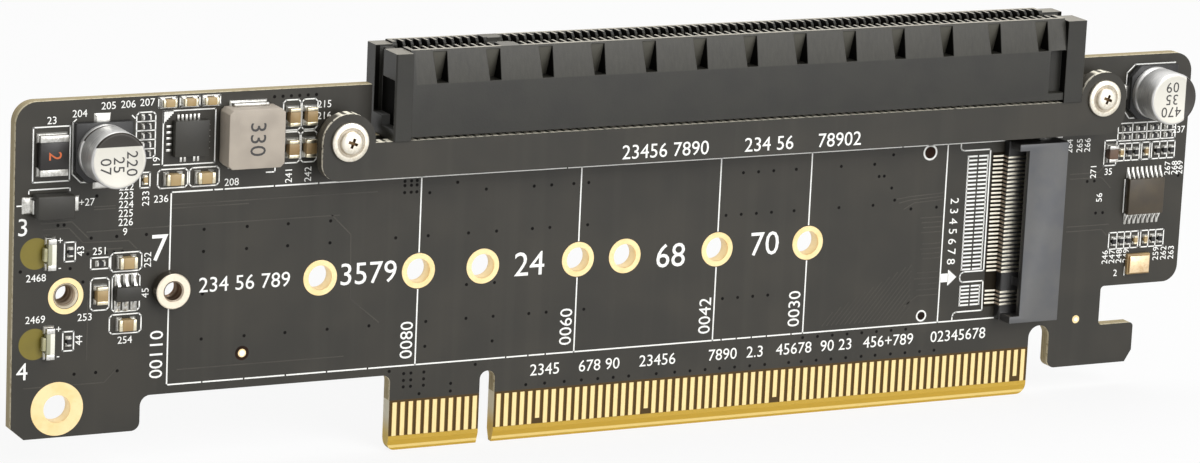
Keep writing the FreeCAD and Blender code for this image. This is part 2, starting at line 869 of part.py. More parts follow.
save("inductor_body", coil_body())
save("inductor_terminals", coil_terminals())
save("power_chip_body", power_chip_body())
save("clock_chip_body", chip_body(
    clock_chip, clock_chip_length, clock_chip_width, clock_chip_height))
save("clock_chip_pins", chip_pins(
    clock_chip, clock_chip_width, clock_pin_count, clock_pin_pitch, clock_pin_width,
    clock_pin_span))
save("small_chip_body", chip_body(
    small_chip, small_chip_length, small_chip_width, small_chip_height))
save("small_chip_pins", chip_pins(
    small_chip, small_chip_width, small_pin_count, small_pin_pitch, small_pin_width,
    small_pin_span))

fuse_body, fuse_ends = fuse_parts()
save("fuse_body", fuse_body)
save("fuse_ends", fuse_ends)
save("diode_body", diode_body())
save("diode_leads", diode_leads())
crystal_base, crystal_lid = crystal_parts()
save("crystal_base", crystal_base)
save("crystal_lid", crystal_lid)
lamps = [lamp_parts(z) for z in lamp_heights]
save("lamp_bodies", [body for body, lens, ends in lamps])
save("lamp_lenses", [lens for body, lens, ends in lamps])
save("lamp_ends", [end for body, lens, ends in lamps for end in ends])

resistors = [(resistor_column[0], z, False) for z in resistor_column[1]]
resistors += [(x, z, False) for x in resistor_pairs[0] for z in resistor_pairs[1]]
resistors += [(x, middle_row, True) for x in middle_resistors]
resistors += [(x, low_row, True) for x in low_resistors]
resistors += single_resistors
chip_group("large_capacitor", large_capacitors, large_size)
chip_group("medium_capacitor", medium_capacitors, medium_size)
chip_group("small_capacitor", small_capacitors, small_size)
chip_group("resistor", resistors, small_size)
chip_group("ferrite_bead", bead_place, bead_size)
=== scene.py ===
import json
import math
import bpy
from mathutils import Matrix, Vector


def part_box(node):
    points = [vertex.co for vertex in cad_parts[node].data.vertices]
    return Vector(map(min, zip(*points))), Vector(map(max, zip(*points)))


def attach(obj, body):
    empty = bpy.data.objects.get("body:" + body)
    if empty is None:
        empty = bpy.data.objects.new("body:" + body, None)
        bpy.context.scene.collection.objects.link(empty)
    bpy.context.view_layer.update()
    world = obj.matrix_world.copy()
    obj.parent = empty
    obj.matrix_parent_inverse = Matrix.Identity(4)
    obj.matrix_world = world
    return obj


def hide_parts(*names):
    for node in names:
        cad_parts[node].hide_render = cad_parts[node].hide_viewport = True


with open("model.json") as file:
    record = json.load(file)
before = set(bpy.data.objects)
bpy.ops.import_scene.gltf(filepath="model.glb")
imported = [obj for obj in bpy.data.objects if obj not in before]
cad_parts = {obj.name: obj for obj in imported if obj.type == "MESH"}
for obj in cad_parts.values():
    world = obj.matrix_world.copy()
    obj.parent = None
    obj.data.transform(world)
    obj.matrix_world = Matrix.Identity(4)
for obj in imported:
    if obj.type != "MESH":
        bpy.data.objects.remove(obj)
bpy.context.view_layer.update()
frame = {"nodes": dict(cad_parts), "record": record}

mm = 0.001
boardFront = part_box("main_board")[0].y / mm     # the component face, in mm
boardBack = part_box("main_board")[1].y / mm
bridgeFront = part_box("bridge_board")[0].y / mm
sunk = 0.01                # raised work is let this far into the face below it
standoffNodes = ("front_standoff", "back_standoff")


def boxOf(node):
    # the (low, high) corners of a CAD node, in mm
    return [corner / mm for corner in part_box(node)]


def centreOf(node):
    # x and z of a CAD node's middle, in mm
    low, high = boxOf(node)
    return (low.x + high.x) / 2, (low.z + high.z) / 2


def raised(height):
    # y at this height over the component face, and y just inside the face
    return boardFront - height, boardFront + sunk


# ---- modelling helpers, all in mm ----

def leaveEditing():
    if bpy.context.mode != "OBJECT":
        bpy.ops.object.mode_set(mode="OBJECT")


def clearSelection():
    leaveEditing()
    bpy.ops.object.select_all(action="DESELECT")


def startPiece(name):
    # an empty mesh, open in edit mode, that primitives are added to
    clearSelection()
    bpy.ops.mesh.primitive_plane_add(size=mm)
    piece = bpy.context.object
    piece.name = name
    piece.data.name = name
    bpy.ops.object.mode_set(mode="EDIT")
    bpy.ops.mesh.delete(type="VERT")
    return piece


def finishPiece(piece, material, smooth=None):
    leaveEditing()
    if smooth is not None:
        makeActive(piece)
        bpy.ops.object.shade_smooth_by_angle(angle=math.radians(smooth))
    piece.data.materials.clear()
    piece.data.materials.append(material)
    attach(piece, "root")
    return piece


def makeActive(piece):
    clearSelection()
    piece.select_set(True)
    bpy.context.view_layer.objects.active = piece


def addBlock(x0, x1, y0, y1, z0, z1, lean=0.0):
    bpy.ops.mesh.primitive_cube_add(
        size=mm, location=((x0 + x1) / 2 * mm, (y0 + y1) / 2 * mm, (z0 + z1) / 2 * mm),
        rotation=(0, lean, 0), scale=(x1 - x0, y1 - y0, z1 - z0))


def addDisc(x, z, radius, y0, y1, sides):
    bpy.ops.mesh.primitive_cylinder_add(
        vertices=sides, radius=radius * mm, depth=(y1 - y0) * mm,
        location=(x * mm, (y0 + y1) / 2 * mm, z * mm), rotation=(math.pi / 2, 0, 0))


def lathe(name, x, z, profile, steps=56):
    # profile is a list of (radius, y); the first and last points may lie on the axis
    piece = startPiece(name)
    bpy.ops.mesh.primitive_plane_add(size=mm)
    bpy.ops.mesh.merge(type="CENTER")
    radius, y = profile[0]
    bpy.ops.transform.translate(value=((x + radius) * mm, y * mm, z * mm))
    for nextRadius, nextY in profile[1:]:
        move = ((nextRadius - radius) * mm, (nextY - y) * mm, 0)
        bpy.ops.mesh.extrude_region_move(TRANSFORM_OT_translate={"value": move})
        radius, y = nextRadius, nextY
    bpy.ops.mesh.select_all(action="SELECT")
    bpy.ops.mesh.spin(steps=steps, angle=2 * math.pi, center=(x * mm, 0, z * mm), axis=(0, 1, 0))
    bpy.ops.mesh.select_all(action="SELECT")
    bpy.ops.mesh.remove_doubles(threshold=0.002 * mm)
    bpy.ops.mesh.normals_make_consistent(inside=False)
    return piece


def ringProfile(inner, outer, y0, y1, edge):
    # closed section of a flat ring with eased edges
    return [
        (inner + edge, y0), (outer - edge, y0), (outer, y0 + edge), (outer, y1 - edge),
        (outer - edge, y1), (inner + edge, y1), (inner, y1 - edge), (inner, y0 + edge),
        (inner + edge, y0)]


def joinPieces(pieces, name):
    clearSelection()
    for piece in pieces:
        piece.select_set(True)
    bpy.context.view_layer.objects.active = pieces[0]
    if len(pieces) > 1:
        bpy.ops.object.join()
    joined = bpy.context.view_layer.objects.active
    joined.name = name
    joined.data.name = name
    return joined


def editAll(piece):
    # the piece in edit mode, with everything selected
    makeActive(piece)
    bpy.ops.object.mode_set(mode="EDIT")
    bpy.ops.mesh.select_all(action="SELECT")


def copyOfNode(node, name):
    # a merged, clean copy of a CAD node that can be shaped further
    clearSelection()
    piece = bpy.data.objects.new(name, frame["nodes"][node].data.copy())
    piece.data.name = name
    bpy.context.collection.objects.link(piece)
    editAll(piece)
    bpy.ops.mesh.remove_doubles(threshold=0.001 * mm)
    bpy.ops.mesh.dissolve_limited(angle_limit=math.radians(0.5))
    return piece


def applyModifier(piece, kind, **settings):
    makeActive(piece)
    modifier = piece.modifiers.new("step", kind)
    for key, value in settings.items():
        setattr(modifier, key, value)
    bpy.ops.object.modifier_apply(modifier="step")


def softenEdges(piece, width, segments=2, angle=30):
    applyModifier(
        piece, "BEVEL", width=width * mm, segments=segments, limit_method="ANGLE",
        angle_limit=math.radians(angle))


def cutWith(piece, tool):
    applyModifier(piece, "BOOLEAN", operation="DIFFERENCE", solver="EXACT", object=tool)
    bpy.data.objects.remove(tool, do_unlink=True)


def roundedNode(node, material, slotName, width, segments=2):
    # a CAD node again, with eased edges that catch the light
    piece = copyOfNode(node, node + "_moulded")
    softenEdges(piece, width, segments)
    finishPiece(piece, material, 40)
    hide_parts(node)


def islandBoxes(node):
    # the (low, high) corners in mm of every separate solid in a CAD node
    editAll(copyOfNode(node, "island"))
    bpy.ops.mesh.separate(type="LOOSE")
    leaveEditing()
    boxes = []
    for part in list(bpy.context.selected_objects):
        corners = [v.co / mm for v in part.data.vertices]
        low = Vector([min(c[axis] for c in corners) for axis in range(3)])
        high = Vector([max(c[axis] for c in corners) for axis in range(3)])
        boxes.append((low, high))
        bpy.data.objects.remove(part, do_unlink=True)
    return boxes


# ---- materials ----

def paint(colour):
    # three numbers as picked on screen, 0 to 255, are made linear; a linear colour or a socket stays
    if not isinstance(colour, tuple) or len(colour) != 3:
        return colour
    linear = []
    for value in colour:
        value = value / 255
        linear.append(value / 12.92 if value <= 0.04045 else ((value + 0.055) / 1.055) ** 2.4)
    return (*linear, 1.0)


def addNode(tree, kind, settings, inputs):
    # inputs are numbers, colours, sockets or Fields
    node = tree.nodes.new(kind)
    for key, value in settings.items():
        setattr(node, key, value)
    for key, value in inputs.items():
        if isinstance(value, Field):
            value = value.socket
        if isinstance(value, bpy.types.NodeSocket):
            tree.links.new(value, node.inputs[key])
        else:
            node.inputs[key].default_value = value
    return node


class Field:
    # a number that changes over a surface; arithmetic on it adds Math nodes
    def __init__(self, surface, socket):
        self.surface = surface
        self.socket = socket

    def math(self, operation, other=0.0, swapped=False):
        values = (other, self) if swapped else (self, other)
        node = self.surface.add("ShaderNodeMath", {"operation": operation}, {0: values[0], 1: values[1]})
        return Field(self.surface, node.outputs[0])

    def __add__(self, other):
        return self.math("ADD", other)

    def __sub__(self, other):
        return self.math("SUBTRACT", other)

    def __rsub__(self, other):
        return self.math("SUBTRACT", other, True)

    def __mul__(self, other):
        return self.math("MULTIPLY", other)

    def __truediv__(self, other):
        return self.math("DIVIDE", other)

    __radd__ = __add__

    def size(self):
        return self.math("ABSOLUTE")

    def wave(self):
        return self.math("SINE")

    def atMost(self, other):
        return self.math("MINIMUM", other)

    def rise(self, start, end):
        # 0 below start, 1 above end, soft between; start may be the larger
        node = self.surface.add(
            "ShaderNodeMapRange", {"interpolation_type": "SMOOTHSTEP"}, {0: self, 1: start, 2: end})
        return Field(self.surface, node.outputs[0])

    def between(self, low, high, soft=0.1):
        # 1 from low to high, falling off past both
        return self.rise(low - soft, low) * self.rise(high + soft, high)


class Surface:
    # one material with its Principled shader, the few nodes that feed it, and its tone so far
    def __init__(self, name, colour, roughness, **fixed):
        self.material = bpy.data.materials.new(name)
        self.material.use_nodes = True
        self.tree = self.material.node_tree
        self.shader = self.tree.nodes["Principled BSDF"]
        self.tone = paint(colour)
        self.shader.inputs["Base Color"].default_value = self.tone
        self.shader.inputs["Roughness"].default_value = roughness
        for key, value in fixed.items():
            self.shader.inputs[key.replace("_", " ")].default_value = value
        place = self.add("ShaderNodeTexCoord", {}, {})
        self.place = place.outputs["Object"]
        split = self.add("ShaderNodeSeparateXYZ", {}, {0: self.place})
        self.x = Field(self, split.outputs[0]) / mm
        self.y = Field(self, split.outputs[1]) / mm
        self.z = Field(self, split.outputs[2]) / mm
        self.facing = self.add("ShaderNodeSeparateXYZ", {}, {0: place.outputs["Normal"]})

    def add(self, kind, settings, inputs):
        return addNode(self.tree, kind, settings, inputs)

    def normal(self, axis):
        return Field(self, self.facing.outputs[axis])

    def faces(self, axis, start, end):
        # 1 where the surface looks along an axis, either way
        return self.normal(axis).size().rise(start, end)

    def noise(self, scale, detail=3.0, roughness=0.55, stretch=(1, 1, 1)):
        # scale counts features per mm
        moved = self.add(
            "ShaderNodeMapping", {},
            {"Vector": self.place, "Scale": tuple(scale / mm * part for part in stretch)})
        node = self.add(
            "ShaderNodeTexNoise", {},
            {"Vector": moved.outputs[0], "Scale": 1.0, "Detail": detail, "Roughness": roughness})
        return Field(self, node.outputs[0])

    def mixColour(self, factor, first, second):
        node = self.add(
            "ShaderNodeMix", {"data_type": "RGBA", "clamp_factor": True},
            {0: factor, 6: paint(first), 7: paint(second)})
        return node.outputs[2]

    def layer(self, factor, colour):
        # lays a colour over the tone so far
        self.tone = self.mixColour(factor, self.tone, colour)

    def disc(self, x, z, radius, soft=0.05):
        # 1 inside a circle on the board's face
        dx = self.x - x
        dz = self.z - z
        distance = (dx * dx + dz * dz).math("SQRT")
        return distance.rise(radius + soft, radius - soft)

    def feed(self, name, field):
        self.tree.links.new(field.socket, self.shader.inputs[name])

    def paintShade(self, factor, colour):
        # painted shade for unlit depths: a dark diffuse is mixed in, so the shine goes as well as the
        # colour
        dark = self.add("ShaderNodeBsdfDiffuse", {}, {"Color": paint(colour)})
        mix = self.add(
            "ShaderNodeMixShader", {}, {0: factor, 1: self.shader.outputs[0], 2: dark.outputs[0]})
        self.tree.links.new(mix.outputs[0], self.tree.nodes["Material Output"].inputs["Surface"])

    def finished(self, roughness, height, depth):
        # what every surface ends with: its tone, its roughness and its fine relief
        self.tree.links.new(self.tone, self.shader.inputs["Base Color"])
        self.feed("Roughness", roughness)
        bump = self.add("ShaderNodeBump", {}, {"Height": height, "Distance": depth * mm, "Strength": 1.0})
        self.tree.links.new(bump.outputs[0], self.shader.inputs["Normal"])
        return self.material


screwLook = {
    "flange": 2.2, "flangeHeight": 0.45, "groove": 1.6, "dome": 1.32, "domeHeight": 0.5,
    "recess": 1.15, "recessWidth": 0.34, "recessDepth": 0.42, "recessTurn": 0.35,
    "shank": 1.2, "shankLength": 1.5,
}

socketLook = {
    "body": (26, 25, 25), "bodyPale": (36, 35, 35),
    "plate": (86, 86, 86), "plateDeep": (78, 79, 82), "plateLevel": 3.9,
}

boardLook = {
    "mask": (46, 43, 36),
    "maskDeep": (38, 36, 30),
    "maskPale": (60, 57, 50),
    # each edges row: the edge's tone, its darker weave, and a painted highlight along the front corner
    "edges": ((164, 150, 114), (120, 106, 76), (206, 196, 166)),
    # the bridge's edges are painted darker than the main board's: painted shade on its sides
    "bridgeEdges": ((70, 66, 56), (44, 41, 35), (238, 232, 214)),
    # painted light: pale dashes along the bridge's top-facing edge
    "tinnedTop": (250, 244, 224),
    "bevel": (190, 155, 54),
    "bevelLine": (240, 216, 140),
    "bevelLineHeight": (0.35, 0.6),
    "laminate": (80, 58, 12),
    "window": (116, 104, 34),
    "windows": [(-54.7, 25.8), (-54.7, 15.7)],
    "windowRadius": 1.75,
    "roughness": 0.42,
    "sheen": 0.4,
    "tongueMargin": 1.6,   # of the tongue beside its outermost fingers
    "wallPale": (226, 220, 200),
    "wallGold": (214, 184, 98),
    "bareTop": 5.95,       # the tongue has no mask below this height
    "fingersEnd": 1.78,
    "shade": (27, 21, 12),
}

slotLook = {
    "fingerPitch": 1.0, "keyHalfSpan": 1.5, "leftContacts": 11, "rightContacts": 71,
    "cavityWidth": 0.66, "cavityNear": 1.0, "cavityFar": 2.2, "cavityDepth": 7.6,
    "mouthFront": 3.1, "mouthRear": 2.85, "mouthDepth": 0.95, "edge": 0.045,
    "endWidth": 2.7,       # of each end, which has neither ribs nor contacts
    "ribHeight": 3.65, "grooveFloor": 39.4,
    "body": (35, 34, 29), "bodyDeep": (30, 29, 25), "grain": (28, 27, 24),
    "ribStreak": (66, 64, 57), "rubbed": (172, 166, 152), "gapFloor": (80, 78, 70),
    "unlit": (14, 13, 12),
}

contactLook = {"gold": (248, 242, 226), "deep": (222, 208, 180), "tarnish": (104, 76, 54)}

fingerLook = {"gold": (242, 220, 162), "deep": (216, 184, 116), "edge": (112, 78, 24)}

nickelLook = {"bright": (236, 230, 216), "deep": (212, 204, 186), "grime": (104, 84, 60)}

standoffLook = {
    "thread": 1.02, "threadRoot": 1.1, "threadTurns": 9, "leadIn": 0.4, "mouth": 1.34, "shank": 1.38,
    "farLeadIn": 0.2, "farMouth": 1.22, "chamfer": 0.1, "darkBore": 1.16,
    "bright": (232, 222, 202), "deep": (206, 194, 172), "side": (84, 76, 66),
    "bore": (96, 62, 38),
}

lampLook = {"body": (228, 226, 212), "deep": (200, 196, 176), "window": (128, 128, 96)}

canLook = {
    "bead": 0.2, "beadLow": 1.45, "beadHigh": 2.05, "edge": 0.32, "capRadius": 2.72, "capInner": 2.66,
    "capDrop": 0.03, "segmentStart": 1.5,
    "metal": (218, 217, 214), "metalDeep": (178, 178, 179), "cap": (212, 209, 199),
    "capDeep": (192, 189, 180), "segment": (46, 42, 37),
}


def leadShade(surface):
    # 1 on the strip of board under each drive socket's soldered leads, where shade is painted
    beds = surface.x * 0.0
    for node, side in (("front_socket_leads", -1.0), ("back_socket_leads", 1.0)):
        low, high = boxOf(node)
        strip = surface.x.between(low.x - 0.05, high.x) * surface.z.between(low.z - 0.3, high.z + 0.3)
        beds = beds + strip * (surface.normal(1) * side).rise(0.6, 0.9)
    return beds


def maskSurface(name, front, windows, bareTop, edges, tinnedTop=None):
    # solder mask on the two faces, bare laminate on the tongue and on every edge
    look = boardLook
    edge, edgeDark, edgeHighlight = edges
    surface = Surface(name, look["mask"], look["roughness"], Specular_IOR_Level=look["sheen"])
    flat = surface.faces(1, 0.985, 0.995)
    slanted = surface.faces(1, 0.3, 0.5)
    cloud = surface.noise(0.12, 2.0)
    stripes = surface.noise(0.55, 2.0, 0.5, (1.0, 1.0, 0.02))
    grain = surface.noise(9.0, 2.0)
    surface.tone = surface.mixColour(cloud.rise(0.35, 0.7), look["maskDeep"], look["mask"])
    surface.layer(stripes.rise(0.5, 0.72) * 0.18, look["maskPale"])
    surface.layer(grain.rise(0.55, 0.8) * 0.12, look["maskPale"])
    for x, z in windows:
        spot = surface.disc(x, z, look["windowRadius"])
        surface.layer(spot * (0.82 + surface.noise(0.6) * 0.3), look["window"])
    low, high = boxOf("edge_fingers")
    bare = surface.z.rise(bareTop + 0.03, bareTop - 0.03)
    bare = bare * surface.x.between(low.x - look["tongueMargin"], high.x + look["tongueMargin"])
    below = surface.z.rise(look["fingersEnd"] + 0.05, look["fingersEnd"] - 0.05)
    line = surface.z.between(*look["bevelLineHeight"])
    bevel = surface.mixColour(line * 0.8, look["bevel"], look["bevelLine"])
    laminate = surface.mixColour(below * (0.8 + grain * 0.3), look["laminate"], bevel)
    surface.layer(bare, laminate)
    weave = (surface.y * 14.0).wave() * 0.5 + 0.5
    fibre = surface.noise(2.5, 3.0, 0.6, (0.4, 5.0, 0.4))
    edgeTone = surface.mixColour((weave * 0.35 + fibre * 0.55).rise(0.3, 0.85), edge, edgeDark)
    # painted highlight: a pale line along the front corner of each edge
    rim = (surface.y - front).rise(0.5, 0.35) * surface.noise(2.4, 2.0).rise(0.36, 0.5)
    edgeTone = surface.mixColour(rim * 0.9, edgeTone, edgeHighlight)
    edgeTone = surface.mixColour(slanted * bare, edgeTone, bevel)
    wall = surface.faces(0, 0.8, 0.95) * bare
    wallTone = surface.mixColour(surface.z.rise(4.4, 1.6), look["wallPale"], look["wallGold"])
    edgeTone = surface.mixColour(wall * (0.7 + fibre * 0.4), edgeTone, wallTone)
    # painted light: pale dashes on the edges that face up
    if tinnedTop:
        dashes = (surface.x * (2 * math.pi)).wave().rise(-0.6, 0.2)
        edgeTone = surface.mixColour(surface.normal(2).rise(0.9, 0.97) * dashes, edgeTone, tinnedTop)
    # painted shade: under the drive sockets' leads, and a lighter share on the bare tongue between the
    # fingers
    surface.paintShade((leadShade(surface) * 0.8 + bare * (1.0 - below) * 0.3) * flat, look["shade"])
    surface.tone = surface.mixColour(flat, edgeTone, surface.tone)
    return surface.finished(
        flat * -0.2 + 0.62 + grain * 0.06 + bare * 0.1, grain * 0.25 + stripes * 0.5 + cloud, 0.012)


def goldSurface(name, colour, deep, roughness):
    surface = Surface(name, colour, roughness, Metallic=1.0)
    fine = surface.noise(3.0, 3.0, 0.6)
    blotch = surface.noise(0.5, 3.0)
    surface.layer(blotch.rise(0.4, 0.75) * 0.6, deep)
    surface.layer(fine.rise(0.55, 0.8) * 0.4, deep)
    return surface.finished(fine * 0.16 + roughness - 0.06, fine + blotch * 0.5, 0.01)


def contactSurface(name):
    # plated spring leads, darker on the faces that look along x, where they climb from the board
    look = contactLook
    surface = Surface(name, look["gold"], 0.32, Metallic=1.0)
    fine = surface.noise(3.0, 3.0)
    surface.layer(fine.rise(0.5, 0.8) * 0.5, look["deep"])
    surface.layer(surface.faces(0, 0.35, 0.7) * 0.8, look["tarnish"])
    return surface.finished(fine * 0.16 + 0.26, fine, 0.01)


def fingerSurface(name):
    # gold contact fingers, darker down their two long edges
    look = fingerLook
    surface = Surface(name, look["gold"], 0.36, Metallic=1.0)
    along = surface.noise(3.0, 3.0, 0.6, (1.0, 1.0, 0.12))
    middle = (surface.x * (2 * math.pi) - math.pi / 2).wave()
    surface.layer(along.rise(0.5, 0.8) * 0.5, look["deep"])
    surface.layer(middle.rise(0.08, -0.18) * 0.95, look["edge"])
    return surface.finished(along * 0.16 + 0.3, along, 0.01)


def metalSurface(name, colour, deep, roughness):
    surface = Surface(name, colour, roughness, Metallic=1.0)
    fine = surface.noise(4.0, 3.0)
    blotch = surface.noise(0.7, 3.0)
    surface.layer((fine * 0.5 + blotch * 0.5).rise(0.42, 0.66), deep)
    return surface.finished(fine * 0.2 + roughness - 0.08, fine + blotch, 0.012)


def mouldedSurface(name, colour, deep, roughness, grainSize=5.0, depth=0.012, shine=0.5):
    # moulded plastic or ceramic: fine spark-eroded grain, slight flow clouds
    surface = Surface(name, colour, roughness, Specular_IOR_Level=shine)
    grain = surface.noise(grainSize, 3.0, 0.65)
    cloud = surface.noise(0.25, 2.0)
    surface.layer(cloud.rise(0.35, 0.7), deep)
    surface.layer(grain.rise(0.6, 0.85) * 0.25, deep)
    return surface.finished(grain * 0.14 + roughness - 0.06, grain, depth)


def inkSurface(name, colour, deep):
    # screen-printed ink: slightly uneven cover
    surface = Surface(name, colour, 0.55)
    cover = surface.noise(7.0, 3.0, 0.6)
    surface.layer(cover.rise(0.55, 0.85) * 0.6, deep)
    return surface.finished(cover * 0.2 + 0.45, cover, 0.006)


def screwPlaces():
    low, high = boxOf("bridge_screws")
    radius = (high.z - low.z) / 2
    middle = (high.z + low.z) / 2
    return [(low.x + radius, middle), (high.x - radius, middle)]


def screwSurface(name):
    # nickel plate with painted shade in the grooves and in the recess
    look = nickelLook
    screw = screwLook
    surface = Surface(name, look["bright"], 0.36, Metallic=1.0)
    fine = surface.noise(4.0, 3.0)
    blotch = surface.noise(0.9, 3.0)
    top = bridgeFront - screw["flangeHeight"] - screw["domeHeight"]
    deep = surface.y.rise(top, top + 0.15)
    grime = deep * 0.0
    for x, z in screwPlaces():
        groove = surface.disc(x, z, screw["groove"] + 0.04) - surface.disc(x, z, screw["dome"] - 0.02)
        grime = grime + groove * 0.55 + surface.disc(x, z, screw["recess"] / 2 + 0.03) * deep
    surface.layer((fine * 0.5 + blotch * 0.5).rise(0.42, 0.66), look["deep"])
    surface.layer(grime, look["grime"])
    return surface.finished(fine * 0.2 + 0.3, fine + blotch, 0.012)


def standoffSurface(name):
    # turned nickel, bright on its end, with painted shade down its side, and dark in its threaded bore
    look = standoffLook
    surface = Surface(name, look["bright"], 0.36, Metallic=1.0)
    fine = surface.noise(4.0, 3.0)
    turned = (surface.y * 30.0).wave() * 0.5 + 0.5
    surface.layer(fine.rise(0.5, 0.8) * 0.5, look["deep"])
    # painted shade down the side
    surface.layer(surface.faces(1, 0.6, 0.3) * (0.75 + turned * 0.15), look["side"])
    for node in standoffNodes:
        bore = surface.disc(*centreOf(node), look["darkBore"])
        surface.layer(bore * (0.45 + turned * 0.35), look["bore"])
    return surface.finished(fine * 0.2 + 0.28, fine, 0.012)


def slotSurface(name):
    # black moulding, with painted light on its top faces, and painted shade between the ribs and in the
    # cells
    look = slotLook
    low, high = boxOf("slot_housing")
    surface = Surface(name, look["body"], 0.46, Specular_IOR_Level=0.4)
    grain = surface.noise(5.0, 3.0, 0.65)
    cloud = surface.noise(0.25, 2.0)
    surface.layer(cloud.rise(0.35, 0.7), look["bodyDeep"])
    surface.layer(grain.rise(0.6, 0.85) * 0.25, look["grain"])
    rows = surface.x.between(low.x + look["endWidth"], high.x - look["endWidth"], 0.2)
    ribFoot = high.z - look["ribHeight"]
    ribs = surface.z.rise(ribFoot - 0.2, ribFoot) * surface.faces(1, 0.9, 0.98) * rows
    streaks = surface.noise(3.0, 3.0, 0.6, (1.0, 1.0, 0.15))
    surface.layer(ribs * (0.1 + streaks * 0.6), look["ribStreak"])
    # painted light: the top faces are painted paler, most along the rows of teeth
    rubbed = surface.normal(2).rise(0.8, 0.95) * surface.z.rise(high.z - 0.6, high.z - 0.1)
    rubbed = rubbed * (1.0 - surface.x.size().rise(1.3, 1.2) * 0.7)
    surface.layer(rubbed * (0.45 + rows * 0.35 + grain * 0.3), look["rubbed"])
    # painted light: the floors of the gaps between the ribs face down and out, and are painted paler for
    # the floor's light they catch
    downward = surface.normal(2) * -1.0
    sloped = downward.rise(0.14, 0.19) * downward.rise(0.7, 0.58)
    surface.layer(sloped * 0.9, look["gapFloor"])
    # painted shade: the inner walls that look along x, and the groove's walls at the two ends
    inside = surface.x.between(low.x + 0.6, high.x - 0.6)
    walls = surface.faces(0, 0.8, 0.9) * inside
    groove = surface.faces(1, 0.8, 0.9) * surface.y.size().rise(2.2, 2.1) * (1.0 - inside)
    groove = groove * surface.z.rise(look["grooveFloor"] - 0.2, look["grooveFloor"])
    surface.paintShade((walls + groove).atMost(1.0) * 0.9, look["unlit"])
    return surface.finished(grain * 0.14 + 0.4, grain, 0.012)


def lampSurface(name):
    # cream lamp body whose window side is greener and duller
    look = lampLook
    low, high = boxOf("lamp_bodies")
    surface = Surface(name, look["body"], 0.4)
    grain = surface.noise(6.0, 3.0)
    window = surface.x.rise(low.x + (high.x - low.x) * 0.5, low.x + (high.x - low.x) * 0.42)
    surface.layer(grain.rise(0.5, 0.8) * 0.4, look["deep"])
    surface.layer(window * 0.8, look["window"])
    return surface.finished(grain * 0.14 + 0.34, grain, 0.012)


def socketSurface(name):
    # black moulding whose flat top is a paler, smoother plate
    look = socketLook
    surface = Surface(name, look["body"], 0.42)
    grain = surface.noise(4.0, 3.0, 0.6)
    cloud = surface.noise(0.3, 2.0)
    raisedEnough = surface.y.size().rise(look["plateLevel"] - 0.1, look["plateLevel"])
    top = surface.mixColour(cloud.rise(0.35, 0.7), look["plate"], look["plateDeep"])
    surface.layer(grain.rise(0.5, 0.8), look["bodyPale"])
    surface.layer(raisedEnough * surface.faces(1, 0.75, 0.95), top)
    return surface.finished(grain * 0.16 + 0.34, grain + cloud, 0.01)


def canSurface(name, centre, darkSide):
    # drawn aluminium with turned lines, a printed pale top and its dark segment
    look = canLook
    surface = Surface(name, look["metal"], 0.4)
    dx = surface.x - centre[0]
    dz = surface.z - centre[1]
    reach = (dx * dx + dz * dz).math("SQRT")
    outward = surface.normal(1) * -1.0
    top = outward.rise(0.9, 0.96)
    turned = (reach * 42.0 + surface.noise(1.2) * 4.0).wave() * 0.5 + 0.5
    drawn = surface.noise(2.6, 3.0, 0.6, (0.25, 5.0, 0.25))
    toward = dx * darkSide[0] + dz * darkSide[1]
    segment = toward.rise(look["segmentStart"], look["segmentStart"] + 0.06) * outward.rise(0.4, 0.6)
    surface.layer(drawn.rise(0.4, 0.75), look["metalDeep"])
    surface.layer(top, surface.mixColour(turned * 0.1, look["cap"], look["capDeep"]))
    surface.layer(segment, look["segment"])
    surface.feed("Metallic", 0.85 - top * (0.7 + segment * 0.15))
    return surface.finished(drawn * 0.16 + 0.36 + top * 0.1, turned * top + drawn, 0.008)


print("materials")
boardMaterial = maskSurface(
    "satin_grey_mask", boardFront, boardLook["windows"], boardLook["bareTop"], boardLook["edges"])
bridgeMaterial = maskSurface(
    "satin_grey_mask_bridge", bridgeFront, [], -1.0, boardLook["bridgeEdges"], boardLook["tinnedTop"])
fingerGold = fingerSurface("finger_gold")
ringGold = goldSurface("ring_gold", (244, 219, 168), (232, 200, 136), 0.38)
contactGold = contactSurface("contact_gold")
tinMetal = metalSurface("bright_tin", (222, 221, 216), (176, 174, 168), 0.32)
screwMetal = screwSurface("satin_nickel")
standoffMetal = standoffSurface("turned_nickel")
slotPlastic = slotSurface("slot_plastic")
socketPlastic = socketSurface("socket_plastic")
chipResin = mouldedSurface("chip_resin", (42, 40, 34), (34, 32, 27), 0.5, 8.0)
clockResin = mouldedSurface("clock_chip_resin", (68, 58, 40), (52, 44, 33), 0.46, 8.0)
blackResin = mouldedSurface("black_resin", (24, 23, 23), (17, 17, 17), 0.42, 6.0)
fuseResin = mouldedSurface("fuse_coating", (30, 27, 25), (22, 20, 19), 0.35, 6.0)
coilPowder = mouldedSurface("pressed_powder", (168, 158, 145), (152, 143, 131), 0.6, 7.0, 0.02)
beadPowder = mouldedSurface("bead_powder", (96, 74, 58), (70, 54, 44), 0.5, 7.0, 0.02)
tanCeramic = mouldedSurface("tan_ceramic", (166, 142, 98), (138, 112, 72), 0.4, 6.0)
creamTin = metalSurface("cream_tin", (232, 224, 198), (186, 174, 146), 0.34)
resistorGlaze = mouldedSurface("resistor_glaze", (30, 28, 28), (20, 19, 19), 0.3, 6.0)
lampWhite = lampSurface("lamp_white")
lampClear = mouldedSurface("lamp_clear", (176, 172, 138), (150, 146, 110), 0.2, 3.0)
crystalLid = metalSurface("crystal_lid", (238, 214, 176), (214, 184, 142), 0.42)
silkInk = inkSurface("white_print", (240, 240, 236), (206, 205, 200))
